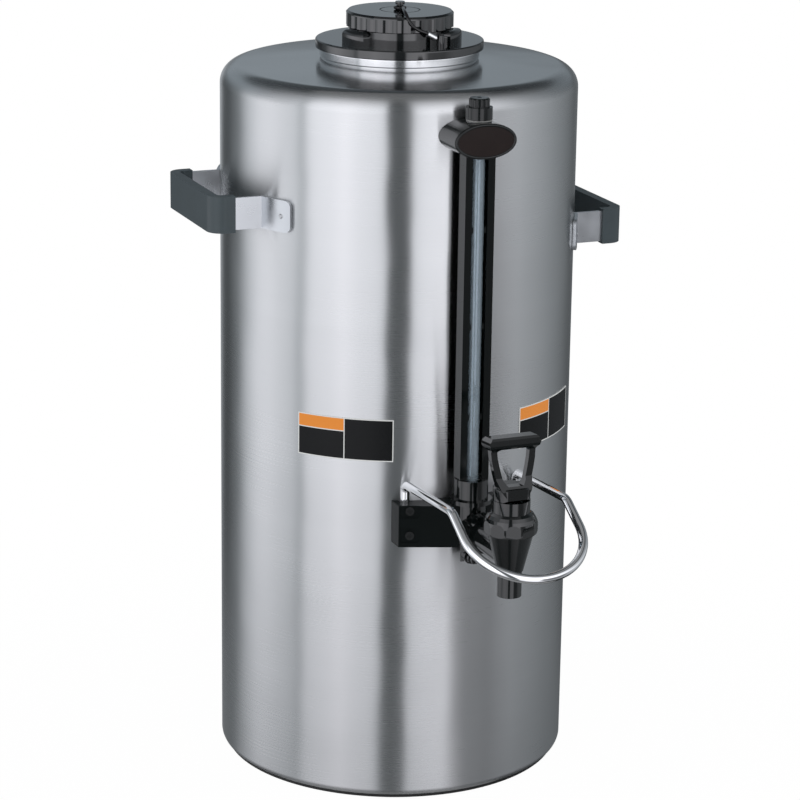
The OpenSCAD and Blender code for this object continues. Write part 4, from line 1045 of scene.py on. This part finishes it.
@dataclass
class Gauge(SubAssembly):
    """The sight gauge with its head, guard and vent."""

    finishes = {
        "gauge_head": GAUGE_BLACK, "badge_plate": BADGE, "head_stud": INNER_STEEL,
        "gauge_guard": RAIL_BLACK, "sight_tube": TUBE, "tube_clips": GAUGE_BLACK,
        "tube_seal_upper": SEAL_GREY, "tube_seal_lower": SEAL_GREY, "gauge_fitting": GAUGE_BLACK,
        "drain_plug": GAUGE_BLACK, "vent_seal": SEAL_GREY, "vent_cap": CAP_BLACK,
    }
    edges = {
        "gauge_head": 0.7, "badge_plate": 0.3, "gauge_guard": 0.35, "gauge_fitting": 0.4, "drain_plug": 0.3,
        "vent_cap": 0.4, "tube_clips": 0.2,
    }
    rim_x: float = 21.3
    rim_z: float = 11.0
    rim_round: float = 1.0
    rim_steps: int = 120
    face_y: float = -153.4
    centre_z: float = 481.4

    def make(self) -> None:
        """Builds the round rim that frames the badge."""
        turns = [math.tau * i / self.rim_steps for i in range(self.rim_steps)]
        route = [
            Vector((self.rim_x * math.cos(a), self.face_y, self.centre_z + self.rim_z * math.sin(a))) * MM
            for a in turns
        ]
        rim = tube_mesh("badge_rim", route, self.rim_round * MM, 20, Vector((0.0, 1.0, 0.0)), loop=True)
        new_piece("badge_rim", rim, "urn", CAP_BLACK)


@dataclass
class Bracket(SubAssembly):
    """The bracket cover with what it hides."""

    finishes = {
        "mount_plate": INNER_STEEL, "bracket_cover": COVER_BLACK, "bracket_screws": SCREW_BLACK,
        "gauge_tee": GAUGE_BLACK, "shank": INNER_STEEL, "shank_gasket": SEAL_GREY, "shank_nut": INNER_STEEL,
        "coupling_nut": TAP_BLACK,
    }
    edges = {"bracket_cover": 0.5, "bracket_screws": 0.25, "gauge_tee": 0.4, "coupling_nut": 0.4}


@dataclass
class Tap(SubAssembly):
    """The tap with its lever."""

    finishes = {
        "tap_body": TAP_BLACK, "bonnet": TAP_BLACK, "tap_stem": INNER_STEEL, "seat_cup": SEAL_GREY,
        "tap_spring": BRIGHT, "tap_handle": TAP_BLACK, "handle_pin": BRIGHT,
    }
    edges = {"tap_body": 0.5, "bonnet": 0.6, "tap_handle": 0.8, "handle_pin": 0.2}
    lift: float = 3.5

    def make(self) -> None:
        """Gives the spring a mesh of its own."""
        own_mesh(node_object("tap_spring"))


@dataclass
class Guard(SubAssembly):
    """The bent rod that stands round the tap."""

    finishes = {"wire_guard": CHROME}
    rod_radius: float = 3.175
    leg_x: float = 42.0
    foot_y: float = -123.27
    low_z: float = 217.15
    leg_z: float = 238.0
    bend_y: float = -204.7
    bend_z: float = 243.0
    slope: float = 30.0
    straight: float = 24.0
    corners: tuple[float, ...] = (6.0, 14.0, 41.6, 41.6, 14.0, 6.0)

    def make(self) -> None:
        """Builds the rod as one smooth tube."""
        drop = Vector((0.0, -math.cos(math.radians(self.slope)), -math.sin(math.radians(self.slope))))
        bend = Vector((0.0, self.bend_y, self.bend_z))
        stations = [
            Vector((0.0, self.foot_y, self.low_z)), Vector((0.0, self.foot_y, self.leg_z)), bend,
            bend + (self.straight + self.leg_x) * drop,
        ]
        side = Vector((self.leg_x, 0.0, 0.0))
        points = [p + side for p in stations] + [p - side for p in reversed(stations)]
        route = [points[0]]
        for i, radius in enumerate(self.corners):
            steps = 40 if radius > 20 else 14
            route += rounded_corner(points[i], points[i + 1], points[i + 2], radius, steps)
        route.append(points[-1])
        rod = tube_mesh(
            "guard_rod", [p * MM for p in route], self.rod_radius * MM, 40, Vector((0.0, -0.5, 0.866))
        )
        new_piece("guard_rod", rod, "urn", CHROME, ["wire_guard"])


@dataclass
class SideHandles(SubAssembly):
    """Two steel straps with moulded grips."""

    finishes = {
        "strap_left": STRAP_STEEL, "strap_right": STRAP_STEEL, "grip_left": GRIP_SLATE,
        "grip_right": GRIP_SLATE, "strap_rivets": INNER_STEEL,
    }
    edges = {
        "strap_left": 0.35, "strap_right": 0.35, "grip_left": 1.6, "grip_right": 1.6, "strap_rivets": 0.1,
    }


@dataclass
class Labels(SubAssembly):
    """The two blank label panels."""

    finishes = {"label_left": LABEL_LEFT, "label_right": LABEL_RIGHT}


def smooth_nodes() -> None:
    """Shades the CAD nodes smooth."""
    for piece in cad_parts.values():
        mesh = piece.data
        mesh.polygons.foreach_set("use_smooth", [True] * len(mesh.polygons))


def main() -> None:
    """Builds the studio and every sub-assembly in order."""
    logging.basicConfig(level=logging.INFO, format="%(message)s")
    Studio().build()
    smooth_nodes()
    for group in (Vessel(), LidGroup(), Gauge(), Bracket(), Tap(), Guard(), SideHandles(), Labels()):
        group.build()


if __name__ == "__main__":
    main()
